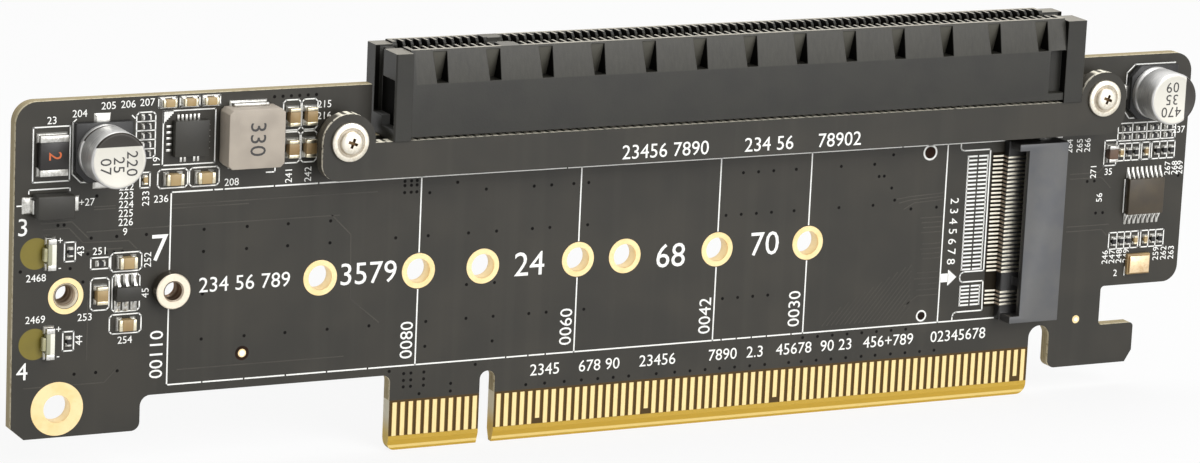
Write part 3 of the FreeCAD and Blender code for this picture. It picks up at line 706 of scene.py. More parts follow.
darkInk = inkSurface("dark_print", (52, 50, 50), (84, 80, 78))
orangeInk = inkSurface("orange_print", (196, 98, 50), (164, 78, 40))
pegPit = mouldedSurface("peg_pit", (46, 30, 22), (26, 18, 14), 0.7, 3.0, 0.012, 0.1)
# near-black discs over the small plated holes: painted shade for the holes' depth
viaHoleShade = mouldedSurface("via_pit", (12, 11, 10), (20, 18, 16), 0.7, 6.0, 0.012, 0.1)
traceMask = mouldedSurface("trace_mask", (62, 59, 52), (52, 49, 43), 0.4, 6.0, 0.006, 0.4)


# ---- boards ----

for node, material in (
        ("main_board", boardMaterial), ("bridge_board", bridgeMaterial), ("edge_fingers", fingerGold),
        ("slot_front_contacts", contactGold), ("slot_rear_contacts", contactGold)):
    mesh = frame["nodes"][node].data
    mesh.materials.clear()
    mesh.materials.append(material)


# ---- plated rings ----

ringLook = {
    "driveRadius": 2.04, "bracketRadius": 3.03, "foil": 0.05, "wall": 0.1, "edge": 0.02,
    "shankRadius": 1.45, "shankEdge": 0.015,
}


def mountPlaces():
    # (x, z, bore) of every drive hole, from the record's mounts
    places = set()
    for mount in frame["record"]["mounts"]:
        x, _, z = (value / mm for value in mount["pos_m"])
        if mount["kind"] == "bolt_pattern":
            half = mount["dims"]["spacing_x_mm"] / 2
            for hole in (x - half, x + half):
                places.add((round(hole, 3), round(z, 3), mount["dims"]["hole_r_mm"]))
    return sorted(places)


def platedRing(name, x, z, bore, outer):
    # foil on both faces joined by the plating in the hole, as one turned shape
    look = ringLook
    y0 = boardFront - look["foil"]
    y1 = boardBack + look["foil"]
    edge = look["edge"]
    inner = bore - look["wall"]
    profile = [
        (inner + edge, y0), (outer - edge, y0), (outer, y0 + edge), (outer, boardFront + sunk),
        (bore + sunk, boardFront + sunk), (bore + sunk, boardBack - sunk), (outer, boardBack - sunk),
        (outer, y1 - edge), (outer - edge, y1), (inner + edge, y1), (inner, y1 - edge * 2),
        (inner, y0 + edge * 2), (inner + edge, y0)]
    return lathe(name, x, z, profile)


def makeRings():
    rings = []
    for index, (x, z, bore) in enumerate(mountPlaces()):
        rings.append(platedRing(f"ring_{index}", x, z, bore, ringLook["driveRadius"]))
    for mount in frame["record"]["mounts"]:
        x, _, z = (value / mm for value in mount["pos_m"])
        if mount["name"] == "bracket_hole":
            rings.append(platedRing("ring_bracket", x, z, mount["dims"]["r_mm"], ringLook["bracketRadius"]))
        if mount["kind"] == "threaded_hole":
            # the far side of a standoff: a foil ring round the shank's end
            side = -1 if mount["axis"][1] > 0 else 1
            face = boardFront if side < 0 else boardBack
            y0, y1 = sorted((face - side * sunk, face + side * ringLook["foil"]))
            section = ringProfile(
                ringLook["shankRadius"], ringLook["driveRadius"], y0, y1, ringLook["shankEdge"])
            rings.append(lathe("ring_" + mount["name"], x, z, section))
    finishPiece(joinPieces(rings, "hole_rings"), ringGold, 40)


makeRings()
print("rings")


# ---- screws and standoffs ----

def makeScrew(name, x, z):
    look = screwLook
    seat = bridgeFront
    rim = seat - look["flangeHeight"]
    top = rim - look["domeHeight"]
    tip = seat + look["shankLength"]
    flange, groove, dome, shank = (look[part] for part in ("flange", "groove", "dome", "shank"))
    screw = lathe(name, x, z, [
        (0, tip), (shank, tip), (shank, seat), (flange - 0.05, seat), (flange, seat - 0.06),
        (flange, rim + 0.16), (flange - 0.05, rim + 0.06), (flange - 0.16, rim), (groove + 0.06, rim),
        (groove, rim + 0.05), (dome + 0.05, rim + 0.05), (dome, rim), (dome - 0.04, top + 0.22),
        (dome - 0.14, top + 0.08), (dome - 0.34, top), (0, top)])
    half = look["recess"] / 2
    thin = look["recessWidth"] / 2
    for reachX, reachZ in ((half, thin), (thin, half)):
        tool = startPiece("recess_tool")
        addBlock(
            x - reachX, x + reachX, top - 0.2, top + look["recessDepth"], z - reachZ, z + reachZ,
            look["recessTurn"])
        cutWith(screw, tool)
    return screw


def makeScrews():
    screws = [makeScrew(f"screw_{index}", x, z) for index, (x, z) in enumerate(screwPlaces())]
    piece = finishPiece(joinPieces(screws, "bridge_screw_heads"), screwMetal, 35)
    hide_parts("bridge_screws")


def makeStandoff(node):
    look = standoffLook
    low, high = boxOf(node)
    x, z = centreOf(node)
    radius = (high.x - low.x) / 2
    outward = -1 if low.y < boardFront - 0.5 else 1
    far = low.y if outward < 0 else high.y
    face = boardFront if outward < 0 else boardBack
    end = boardBack if outward < 0 else boardFront
    leadIn = end + outward * look["leadIn"]
    depth = far - outward * look["farLeadIn"]
    profile = [
        (look["thread"], leadIn), (look["mouth"], end), (look["shank"], end), (look["shank"], face),
        (radius, face), (radius, far - outward * look["chamfer"]), (radius - look["chamfer"], far),
        (look["farMouth"], far), (look["thread"], depth)]
    pitch = abs(leadIn - depth) / (look["threadTurns"] + 0.5)
    for turn in range(look["threadTurns"]):
        y = depth - outward * pitch * (turn + 0.5)
        profile += [
            (look["thread"], y + outward * pitch * 0.25), (look["threadRoot"], y - outward * pitch * 0.1)]
    piece = lathe(node + "_turned", x, z, profile + [(look["thread"], leadIn)], 48)
    finishPiece(piece, standoffMetal, 30)
    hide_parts(node)


makeScrews()
for node in standoffNodes:
    makeStandoff(node)
roundedNode("bridge_spacers", standoffMetal, "bright_nickel", 0.08)
print("screws and standoffs")


# ---- card slot ----

def contactPlaces():
    look = slotLook
    left = [-look["keyHalfSpan"] - step * look["fingerPitch"] for step in range(look["leftContacts"])]
    right = [look["keyHalfSpan"] + step * look["fingerPitch"] for step in range(look["rightContacts"])]
    return sorted(left + right)


def cavityTool(farFront, farRear, depth):
    # one block for each contact and side, let into the housing from above
    look = slotLook
    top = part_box("slot_housing")[1].z / mm
    half = look["cavityWidth"] / 2
    tool = startPiece("cavity_tool")
    for x in contactPlaces():
        addBlock(x - half, x + half, -farFront, -look["cavityNear"], top - depth, top + 1)
        addBlock(x - half, x + half, look["cavityNear"], farRear, top - depth, top + 1)
    return tool


def makeSlot():
    look = slotLook
    housing = copyOfNode("slot_housing", "slot_housing_moulded")
    cutWith(housing, cavityTool(look["cavityFar"], look["cavityFar"], look["cavityDepth"]))
    cutWith(housing, cavityTool(look["mouthFront"], look["mouthRear"], look["mouthDepth"]))
    softenEdges(housing, look["edge"], 1, 50)
    finishPiece(housing, slotPlastic, 30)
    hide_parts("slot_housing")


makeSlot()
print("card slot")


# ---- drive sockets ----

tailLook = {"width": 0.24, "reach": 1.2, "foil": 0.13, "heel": 0.35, "heelHeight": 0.5, "stagger": 0.25,
            "root": 0.1}


def makeRearTails(side):
    # the second row of soldered leads, on the far side of the socket from its mouth
    look = tailLook
    low, high = boxOf(side + "_socket_housing")
    leads = islandBoxes(side + "_socket_leads")
    outward = 1 if leads[0][0].x < low.x else -1
    start = high.x if outward > 0 else low.x
    face, away = (boardFront, -1) if side == "front" else (boardBack, 1)
    piece = startPiece(side + "_socket_rear_tails")
    for leadLow, leadHigh in leads:
        z = (leadLow.z + leadHigh.z) / 2 + look["stagger"]
        for reach, height in ((look["reach"], look["foil"]), (look["heel"], look["heelHeight"])):
            x0, x1 = sorted((start - outward * look["root"], start + outward * reach))
            y0, y1 = sorted((face - away * sunk, face + away * height))
            addBlock(x0, x1, y0, y1, z - look["width"] / 2, z + look["width"] / 2)
    finishPiece(piece, contactGold)


for side in ("front", "back"):
    makeRearTails(side)
    roundedNode(side + "_socket_housing", socketPlastic, "socket_plastic", 0.07)
    roundedNode(side + "_socket_leads", contactGold, "gold_plate", 0.025, 1)
    roundedNode(side + "_socket_solder_tabs", tinMetal, "tin_plate", 0.06)
print("drive sockets")


# ---- round capacitors ----

def makeCan(side, darkSide):
    node = side + "_capacitor_can"
    low, high = boxOf(node)
    x, z = centreOf(node)
    radius = (high.x - low.x) / 2
    top = low.y
    foot = high.y
    look = canLook
    beadTop = boardFront - look["beadHigh"]
    beadFoot = boardFront - look["beadLow"]
    profile = [(0, foot), (radius - 0.1, foot), (radius, foot - 0.1)]
    for step in range(7):
        share = step / 6
        dip = math.sin(share * math.pi) ** 2 * look["bead"]
        profile.append((radius - dip, beadFoot + (beadTop - beadFoot) * share))
    for step in range(6):
        angle = math.radians(step * 18)
        profile.append((
            radius - look["edge"] * (1 - math.cos(angle)), top + look["edge"] * (1 - math.sin(angle))))
    cap = top + look["capDrop"]
    profile += [(look["capRadius"], top), (look["capInner"], cap), (0, cap)]
    can = lathe(side + "_can_drawn", x, z, profile, 72)
    finishPiece(can, canSurface(side + "_can_metal", (x, z), darkSide), 32)
    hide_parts(node)
    return x, z, top


leftCan = makeCan("left", (0, 1))
rightCan = makeCan("right", (1, 0))
for side in ("left", "right"):
    roundedNode(side + "_capacitor_base", blackResin, "black_resin", 0.12)
    roundedNode(side + "_capacitor_leads", tinMetal, "tin_plate", 0.05)
print("round capacitors")


# ---- chips and small parts ----

smallParts = [   # node, material, slot, width of the eased edge, and its segments if not 2
    ("inductor_body", coilPowder, "ferrite_coat", 0.16, 3),
    ("inductor_terminals", tinMetal, "tin_plate", 0.06),
    ("power_chip_body", chipResin, "chip_resin", 0.05),
    ("clock_chip_body", clockResin, "chip_resin", 0.09),
    ("clock_chip_pins", tinMetal, "tin_plate", 0.03, 1),
    ("small_chip_body", chipResin, "chip_resin", 0.09),
    ("small_chip_pins", tinMetal, "tin_plate", 0.03, 1),
    ("fuse_body", fuseResin, "fuse_glaze", 0.05), ("fuse_ends", tinMetal, "tin_plate", 0.07),
    ("diode_body", chipResin, "chip_resin", 0.16), ("diode_leads", tinMetal, "tin_plate", 0.05),
    ("crystal_base", tanCeramic, "tan_ceramic", 0.05), ("crystal_lid", crystalLid, "cream_lid", 0.08),
    ("lamp_bodies", lampWhite, "lamp_white", 0.05), ("lamp_lenses", lampClear, "lamp_clear", 0.12),
    ("lamp_ends", tinMetal, "tin_plate", 0.05),
]
for size in ("large", "medium", "small"):
    smallParts.append((size + "_capacitor_bodies", tanCeramic, "tan_ceramic", 0.05))
    smallParts.append((size + "_capacitor_ends", creamTin, "tin_plate", 0.06))
smallParts += [
    ("resistor_bodies", resistorGlaze, "resistor_glaze", 0.03, 1),
    ("resistor_ends", tinMetal, "tin_plate", 0.04, 1),
    ("ferrite_bead_bodies", beadPowder, "ferrite_coat", 0.06),
    ("ferrite_bead_ends", tinMetal, "tin_plate", 0.06),
]
for part in smallParts:
    roundedNode(*part)
print("chips and small parts")


# ---- solder ----

solderLook = {   # how far the solder climbs and how far it spreads, at each node
    "large_capacitor_ends": (0.45, 0.2), "medium_capacitor_ends": (0.4, 0.2),
    "small_capacitor_ends": (0.25, 0.13), "resistor_ends": (0.22, 0.13), "ferrite_bead_ends": (0.4, 0.2),
    "fuse_ends": (0.4, 0.2), "lamp_ends": (0.35, 0.2), "diode_leads": (0.2, 0.2),
    "inductor_terminals": (0.25, 0.2), "clock_chip_pins": (0.1, 0.07), "small_chip_pins": (0.12, 0.2),
    "left_capacitor_leads": (0.15, 0.2), "right_capacitor_leads": (0.15, 0.2),
}


def makeFillet(low, high, climb, spread):
    # a sloped heap of solder round one soldered end
    bpy.ops.mesh.primitive_cube_add(size=1)
    heap = bpy.context.object
    for vertex in heap.data.vertices:
        outer = vertex.co.y > 0
        grow = spread if outer else sunk
        x = low.x - grow if vertex.co.x < 0 else high.x + grow
        z = low.z - grow if vertex.co.z < 0 else high.z + grow
        y = boardFront + sunk / 2 if outer else boardFront - climb
        vertex.co = Vector((x, y, z)) * mm
    return heap


def makeSolder():
    heaps = []
    for node, (climb, spread) in solderLook.items():
        for low, high in islandBoxes(node):
            clearSelection()
            heaps.append(makeFillet(low, high, climb, spread))
    solder = joinPieces(heaps, "solder_heaps")
    softenEdges(solder, 0.05, 2, 20)
    finishPiece(solder, tinMetal, 50)


powerLook = {
    "rowStart": -38.6, "rowPitch": 0.475, "rowCount": 6, "row": (39.63, 40.35),
    "columnStart": 36.43, "columnPitch": 0.66, "columnCount": 5, "column": (-39.97, -39.3),
    "dots": (-38.2, -37.75, -36.65, -36.2), "dotSpan": (35.05, 35.8), "dotHalf": 0.14,
    "farColumn": (-35.2, -34.8), "farHalf": 0.06, "farHeight": 0.06, "width": 0.28, "height": 0.16,
}


def makePowerPads():
    # the pads that show past the power chip's edges
    look = powerLook
    level = raised(look["height"])
    half = look["width"] / 2
    piece = startPiece("power_chip_pads")
    for step in range(look["rowCount"]):
        x = look["rowStart"] + step * look["rowPitch"]
        addBlock(x - half, x + half, *level, *look["row"])
    for step in range(look["columnCount"]):
        z = look["columnStart"] + step * look["columnPitch"]
        addBlock(*look["column"], *level, z - half, z + half)
        addBlock(*look["farColumn"], *raised(look["farHeight"]), z - look["farHalf"], z + look["farHalf"])
    for x in look["dots"]:
        addBlock(x - look["dotHalf"], x + look["dotHalf"], *level, *look["dotSpan"])
    softenEdges(piece, 0.05)
    finishPiece(piece, tinMetal, 50)


makeSolder()
makePowerPads()
print("solder")


# ---- print on the boards ----

silkLook = {
    "line": 0.16, "fine": 0.14, "proud": 0.02,
    "fullSize": 1.38,      # of the type, for each mm that a numeral is high
    "lift": 0.002,
}


def addBar(x0, z0, x1, z1, width, height, past=0.0):
    # a raised bar on the component face between two points, or a little past them
    reach = math.hypot(x1 - x0, z1 - z0) / 2 + past
    x = (x0 + x1) / 2
    z = (z0 + z1) / 2
    addBlock(
        x - reach, x + reach, *raised(height), z - width / 2, z + width / 2,
        -math.atan2(z1 - z0, x1 - x0))


def stroke(x0, z0, x1, z1, width=silkLook["line"]):
    # one printed line between two points
    addBar(x0, z0, x1, z1, width, silkLook["proud"], width / 2)


def printPath(points, width=silkLook["line"]):
    for (x0, z0), (x1, z1) in zip(points, points[1:]):
        stroke(x0, z0, x1, z1, width)


def printFrame(x0, x1, z0, z1, corner):
    # a frame with its corners cut off
    printPath([
        (x0 + corner, z0), (x1 - corner, z0), (x1, z0 + corner), (x1, z1 - corner), (x1 - corner, z1),
        (x0 + corner, z1), (x0, z1 - corner), (x0, z0 + corner), (x0 + corner, z0)], silkLook["fine"])


driveLook = {
    "left": -39.17, "top": 31.7, "bottom": 9.95, "topEnd": 75, "bottomEnd": 67,
    "topGaps": (-34.2, -33, -27, -21.7, 9, 53),
    "gaps": (-35, -30, -25, -20, -15, 2.2, 5, 7.2, 30, 32, 34, 36, 39.3), "gap": 0.35,
    "lengthLines": (-9.16, 10.84, 28.84, 40.84), "socketLine": 59.2, "ringGap": 2.2, "driveLine": 20.87,
}


def makeDriveOutline():
    look = driveLook
    piece = startPiece("drive_outline_print")
    for level, end, gaps in (
            (look["top"], look["topEnd"], look["topGaps"]),
            (look["bottom"], look["bottomEnd"], look["gaps"])):
        start = look["left"]
        for gap in gaps:
            stroke(start, level, gap - look["gap"] / 2, level)
            start = gap + look["gap"] / 2
        stroke(start, level, end, level)
    for x in (look["left"],) + look["lengthLines"]:
        stroke(x, look["bottom"], x, look["driveLine"] - look["ringGap"])
        stroke(x, look["driveLine"] + look["ringGap"], x, look["top"])
    stroke(look["socketLine"], look["bottom"], look["socketLine"], look["top"])
    return piece


combLook = {
    "ladderLeft": 62.1, "ladderRight": 64.8, "upper": (30, 16.2), "lower": (14.1, 11.8), "rung": 0.5,
    "rungWidth": 0.21, "gap": 0.22, "arrow": (59.25, 60.25, 61.4, 15.35, 1.05, 1.95), "arrowStrips": 8,
}


def makeSocketPicture():
    # the little picture of a drive's edge beside the socket
    look = combLook
    piece = startPiece("socket_print")
    printPath([(61.0, 31.6), (61.0, 31.1), (61.15, 30.85), (61.5, 30.75), (65.1, 30.75), (65.2, 15.9),
               (62.45, 15.9), (62.05, 15.7), (61.9, 15.3), (62.0, 14.85), (62.3, 14.65), (65.2, 14.65),
               (65.3, 11.0), (61.7, 11.0), (61.35, 10.85), (61.2, 10.5), (61.2, 10.05)])
    left, right = look["ladderLeft"], look["ladderRight"]
    middle = (left + right) / 2
    for high, low in (look["upper"], look["lower"]):
        stroke(left, low, left, high, silkLook["fine"])
        stroke(right, low, right, high, silkLook["fine"])
        steps = int(round((high - low) / look["rung"]))
        for step in range(steps + 1):
            z = low + (high - low) * step / steps
            stroke(left, z, middle - look["gap"], z, look["rungWidth"])
            stroke(middle + look["gap"], z, right, z, look["rungWidth"])
    level = raised(silkLook["proud"])
    start, neck, tip, z, shaft, head = look["arrow"]
    addBlock(start, neck + 0.05, *level, z - shaft / 2, z + shaft / 2)
    strips = look["arrowStrips"]
    for step in range(strips):
        x = neck + (tip - neck) * step / strips
        half = head / 2 * (1 - (step + 0.3) / strips)
        addBlock(x, x + (tip - neck) / strips + 0.01, *level, z - half, z + half)
    return piece


def printRing(x, z, inner, outer, steps=28):
    middle = (inner + outer) / 2
    width = outer - inner
    chord = 2 * math.pi * middle / steps
    for step in range(steps):
        angle = 2 * math.pi * (step + 0.5) / steps
        cx = x + middle * math.cos(angle)
        cz = z + middle * math.sin(angle)
        addBlock(
            cx - chord / 2, cx + chord / 2, *raised(silkLook["proud"]), cz - width / 2, cz + width / 2,
            -(angle + math.pi / 2))


partPrint = {
    "corner": 0.3, "squareCorner": 0.05, "widest": 3.7, "thinnest": 1.3,   # wider or thinner are square
    "frames": [
        (-55.2, -51, 33.7, 39.75), (-40.3, -34.2, 34.75, 40.8), (-43.4, -41.2, 35.7, 40.8),
        (-42.85, -41.7, 32.4, 34.1), (-40.9, -38.8, 41.2, 42.3), (-38.4, -36.1, 41.2, 42.3),
        (-35.8, -33.7, 41.2, 42.3), (-40.8, -37.3, 32.2, 34.3), (-37.1, -33.6, 32.2, 34.3),
        (-26.2, -24.1, 37.9, 41.3), (-24, -22.1, 37.9, 41.3), (-26.2, -24.1, 34.2, 37.7),
        (-24, -22.1, 34.2, 37.7), (-51.4, -50.15, 24.7, 26.85), (-51.4, -50.15, 14.7, 16.85),
        (-48.35, -46.2, 23.65, 24.9), (-46.04, -42.44, 23.2, 25.3), (-45.8, -42.6, 18.7, 22.85),
        (-48.3, -46.15, 19, 22.6), (-46.04, -42.35, 16.2, 18.35),
        (81.15, 82.85, 27.8, 30.9), (83.1, 86.15, 28.3, 30.4), (86.45, 87.6, 28.3, 30.4),
        (87.9, 91.2, 28.3, 30.4), (82.9, 91.1, 30.75, 32.9), (82.65, 86.85, 17.35, 19.4),
        (87.2, 90.5, 17.35, 19.4)],
    "dividers": [   # heights of both ends, and where the lines stand
        (28.3, 30.4, (84, 85, 89, 90.1)), (30.75, 32.9, (84.95, 87, 89)),
        (17.35, 19.4, (83.8, 84.85, 85.75, 88.3, 89.35))],
    "canPaths": [
        [(-50.35, 40.4), (-50.7, 40.1), (-50.7, 34.4), (-49.7, 33.4), (-48.6, 33.4)],
        [(-43.6, 40.2), (-43.9, 40.5)],
        [(90.4, 40.1), (84.7, 40.1), (83.6, 39.1), (83.6, 34.4), (84.3, 33.5), (85.4, 33.5)]],
    "cornerMarks": [
        (82.9, 31.75, 91.1, 31.75), (85.2, 14, 85.2, 15), (84.4, 21.9, 84.4, 25.9),
        (-28, 33.3, -27, 33.3),
        (-27, 33.3, -27, 34.1), (-55.6, 32.9, -50.9, 32.9), (-55.6, 32.9, -55.6, 32.5),
        (-50.9, 32.9, -50.9, 32.6), (-56.3, 31.2, -56.9, 31.2)],
    "rungs": [(-43.4, z, -41.2, z, 0.12) for z in (36.72, 37.74, 38.76, 39.78)],
    "wedge": {"left": -40.25, "top": 40.75, "size": 1.2, "strips": 6, "strip": 0.2, "width": 0.21},
    "pegRings": [(56.8, 30.8, 0.72, 0.95), (56.9, 10.9, 0.5, 0.7)],
}


def makePartPrint():
    look = partPrint
    piece = startPiece("part_outline_print")
    for x0, x1, z0, z1 in look["frames"]:
        square = x0 > 0 or x1 - x0 > look["widest"] or min(x1 - x0, z1 - z0) < look["thinnest"]
        printFrame(x0, x1, z0, z1, look["squareCorner"] if square else look["corner"])
    for low, high, places in look["dividers"]:
        for x in places:
            stroke(x, low, x, high, silkLook["fine"])
    for mark in look["cornerMarks"]:
        stroke(*mark, silkLook["fine"])
    for rung in look["rungs"]:
        stroke(*rung)
    wedge = look["wedge"]
    for step in range(wedge["strips"]):
        x = wedge["left"] + step * wedge["strip"]
        size = wedge["size"] * (1 - step / wedge["strips"])
        stroke(x, wedge["top"] - size, x, wedge["top"], wedge["width"])
    for path in look["canPaths"]:
        printPath(path, silkLook["fine"])
    for ring in look["pegRings"]:
        printRing(*ring)
    return piece


def printText(text, x, z, height, turn=0, face=boardFront, spacing=1.0):
    # x, z is the text's middle; turn is in degrees, as seen from the component side
    clearSelection()
    bpy.ops.object.text_add(location=(0, 0, 0))
    words = bpy.context.object
    words.data.body = text
    words.data.align_x = "CENTER"
    words.data.align_y = "CENTER"
    words.data.size = height * silkLook["fullSize"] * mm
    words.data.space_character = spacing
    words.data.resolution_u = 3
    words.data.extrude = silkLook["proud"] / 2 * mm
    bpy.ops.object.convert(target="MESH")
    words = bpy.context.object
    place = Matrix.Translation(Vector((x, face - silkLook["proud"] / 2 + silkLook["lift"], z)) * mm)
    words.matrix_world = place @ Matrix.Rotation(math.pi / 2, 4, "X") @ Matrix.Rotation(
        math.radians(turn), 4, "Z")
    makeActive(words)
    bpy.ops.object.transform_apply(location=True, rotation=True, scale=True)
    return words


labelLook = {
    "lengths": [("0030", 39.6, 13), ("0042", 27.75, 13), ("0060", 9.75, 13), ("0080", -10.25, 12.9),
                ("00110", -40.4, 13.5)],
    "channels": [("3", -56.2, 28.7, 2), ("4", -56, 12.6, 2), ("7", -40.42, 25.4, 3.1)],
    "wide": [("2345", 7.25, 8.1, 1.4), ("678 90", 14.2, 8.1, 1.4), ("23456", 21.75, 8.1, 1.4),
             ("7890", 30.3, 8.1, 1.4), ("2.3", 34.6, 8.1, 1.4), ("45678", 39.8, 8.1, 1.4),
             ("90 23", 45.5, 8.1, 1.4), ("456+789", 52.6, 8.1, 1.4), ("02345678", 62.2, 8.1, 1.4)],
    "marks": [("234 56 789", -30.2, 20.9, 1.75), ("3579", -15.3, 20.9, 2.6), ("24", 4.7, 20.6, 2.9),
              ("68", 22.8, 20.4, 2.9), ("70", 35.1, 21, 2.9)],
    "small": [
        ("23", -53.1, 40.4), ("204", -49.95, 41), ("205", -46.65, 41.7), ("206", -44.4, 41.75),
        ("207", -42.2, 41.85), ("208", -32.1, 32.4), ("215", -21.3, 40.6), ("216", -21.3, 39.3),
        ("222", -44.4, 32.6), ("223", -44.4, 31.62), ("224", -44.4, 30.63), ("225", -44.4, 29.64),
        ("226", -44.4, 28.65), ("9", -44.45, 27.58), ("236", -40.35, 31),
        ("2468", -54.6, 23.05), ("2469", -54.6, 18.4), ("251", -47.3, 25.6), ("+", -51.9, 27.05),
        ("-", -51.9, 24.1), ("-", -51.9, 14.2), ("+", -51.9, 17.15), ("253", -48.9, 18.3),
        ("254", -44.2, 15.4), ("35", 81.9, 27),
        ("237", 91.6, 31.7), ("2", 83.9, 14.3), ("+27", -48.95, 31.15)],
    "turned": [
        ("241", -25.3, 32.8), ("242", -23, 32.8), ("43", -49.5, 25.8), ("44", -49.5, 15.8),
        ("45", -41.9, 20.6), ("252", -41.7, 24.3), ("246", 82.3, 16.4), ("247", 83.3, 16.4),
        ("248", 84.3, 16.4), ("249", 85.3, 16.4), ("259", 89.6, 16.4), ("262", 90.7, 16.4),
        ("263", 91.8, 16.4), ("264", 76.2, 30.5), ("265", 77.6, 30.5), ("266", 78.7, 30.5),
        ("56", 80.9, 23.9), ("267", 90.4, 27), ("268", 91.4, 27), ("269", 92.2, 27),
        ("271", 79.8, 27.2), ("19", -40.95, 35.2), ("233", -42.1, 31.2)],
    "smallHeight": 0.85, "lengthHeight": 1.6, "column": ("2 3 4 5 6 7 8", 60.5, 21, 1.15, -90),
    "bridge": [("23456 7890", 19.6, 33.85, 1.7), ("234 56", 33, 33.85, 1.7), ("78902", 42.3, 33.85, 1.7)],
}


def makeLabels():
    look = labelLook
    small = look["smallHeight"]
    rows = [(text, x, z, look["lengthHeight"], 90) for text, x, z in look["lengths"]]
    rows += look["channels"] + look["wide"] + look["marks"]
    rows += [(text, x, z, small) for text, x, z in look["small"]]
    rows += [(text, x, z, small, 90) for text, x, z in look["turned"]]
    return [printText(*row) for row in rows + [look["column"]]]


def makePrint():
    lines = [build() for build in (makeDriveOutline, makeSocketPicture, makePartPrint)]
    lines += makeLabels()
    finishPiece(joinPieces(lines, "board_print"), silkInk)
    bridge = [printText(*row, 0, bridgeFront) for row in labelLook["bridge"]]
    finishPiece(joinPieces(bridge, "bridge_print"), silkInk)


makePrint()


# ---- print on the parts ----

markLook = {
    "canText": 1.3, "spacing": 1.08, "rowStep": 1.5,
    "leftRows": ("220", "25", "07"), "rightRows": ("470", "35", "09"),
    "coil": ("330", 1.9), "fuse": ("2", 1.5),
}


def markOn(node, text, height):
    # numbers on the outer face of a CAD node
    return printText(text, *centreOf(node), height, -90, boxOf(node)[0].y)


def makePartMarks():
    look = markLook
    rows = []
    x, z, top = leftCan
    for step, text in enumerate(look["leftRows"]):
        rows.append((text, x + 1.4 - step * look["rowStep"], z - 0.35 - step * 0.1, -90, top))
    x, z, top = rightCan
    for step, text in enumerate(look["rightRows"]):
        rows.append((text, x - 0.35, z - 1.45 + step * look["rowStep"], 180, top))
    marks = [
        printText(text, x, z, look["canText"], turn, top + canLook["capDrop"], look["spacing"])
        for text, x, z, turn, top in rows]
    marks.append(markOn("inductor_body", *look["coil"]))
    finishPiece(joinPieces(marks, "part_marks"), darkInk)
    mark = markOn("fuse_body", *look["fuse"])
    finishPiece(mark, orangeInk)
    mark.name = "fuse_mark"


makePartMarks()
print("print")


# ---- small plated holes and raised tracks ----

viaLook = {
    "radius": 0.19,
    "rows": [
        (29.8, (-8.1, -1.1, 4.9, 7.1, 9.9, 11.8, 31.8, 33.8, 35.8, 38.8, 44.8, 49.3)),
        (24.85, (-12.1, -8.1, -3.1, 0.4, 4.9, 7.1, 11.9, 29.8, 31.8, 33.8, 35.8, 38.8, 44.8, 49.4)),
        (14.9, (-15, -8, -3, 0.4, 4.9, 7.1, 11.9, 29.9, 31.9, 33.9, 35.9)),
        (18.85, (-3.1, 0.4)), (12, (-8, 0.4)),
        (31.3, (-11.2, -10.4, -9.7)), (30.8, (-11.2, -10.4, -9.7, -4.7)), (30, (-11.2, -10.4, -9.7)),
        (9, (-10.5, -9.6, -8)), (8.2, (-10.5, -9.6, -8)), (7.45, (-10.5, -9.6, -8)),
        (9.4, (-12.3, -1.6, 40.9, 42.9, 44.9, 46.9, 48.9, 50.9, 52.9, 54.9)),
        (7.4, (-4.6,)),
        (6.5, (-8.5, -4.6, 4.9, 7.3, 9.8, 12, 14.1, 16.1, 18.1, 21.7, 24.1, 26.1, 28.1, 30, 32, 34, 36,
               39.2, 40.9, 42.9, 44.9, 46.9, 49, 50.9, 53, 55, 57, 59)),
        (27.3, (-35.2, -30.1, -25.2, -20.1)), (24.8, (-35.2, -30.1, -25.2, -20.1)),
        (20, (-35.2, -20.1)), (14.87, (-35.2, -30.1, -25.2, -20.1)),
        (41.75, (-27.3, -26.3, -25.3, -24.3, -23.3, -22.3)),
        (28.3, (50, 50.7)), (30.8, (51.8,)), (26.8, (51.8,)), (25.3, (52.3,)), (24.1, (58.1, 54.6)),
        (22, (80.5, 81.5)), (26, (79, 80, 92)), (12, (-45, -47.5, -50)),
        (28.8, (-52.2, -51.5)), (27.15, (-48.35, -45.4, -41.95)), (31.8, (-47.8,)),
        (25.4, (-48.7, -47.67, -46.6, -45.7, -44.7)), (23.9, (-56.4, -50.7)), (22.3, (-49.2,)),
        (20, (-51, -38))],
    "filledHoles": [(78.7, 8.9, 0.26, 0.5), (-30.3, 12.9, 0.34, 0.48)],   # x, z, plug, ring
    "pits": [(56.8, 30.8, 0.68, 24), (56.9, 10.9, 0.46, 20), (-30.3, 12.9, 0.82, 28)],   # and sides
    "holeHeight": 0.012, "pitHeight": 0.014, "plugHeight": 0.06, "ringHeight": 0.03,
}

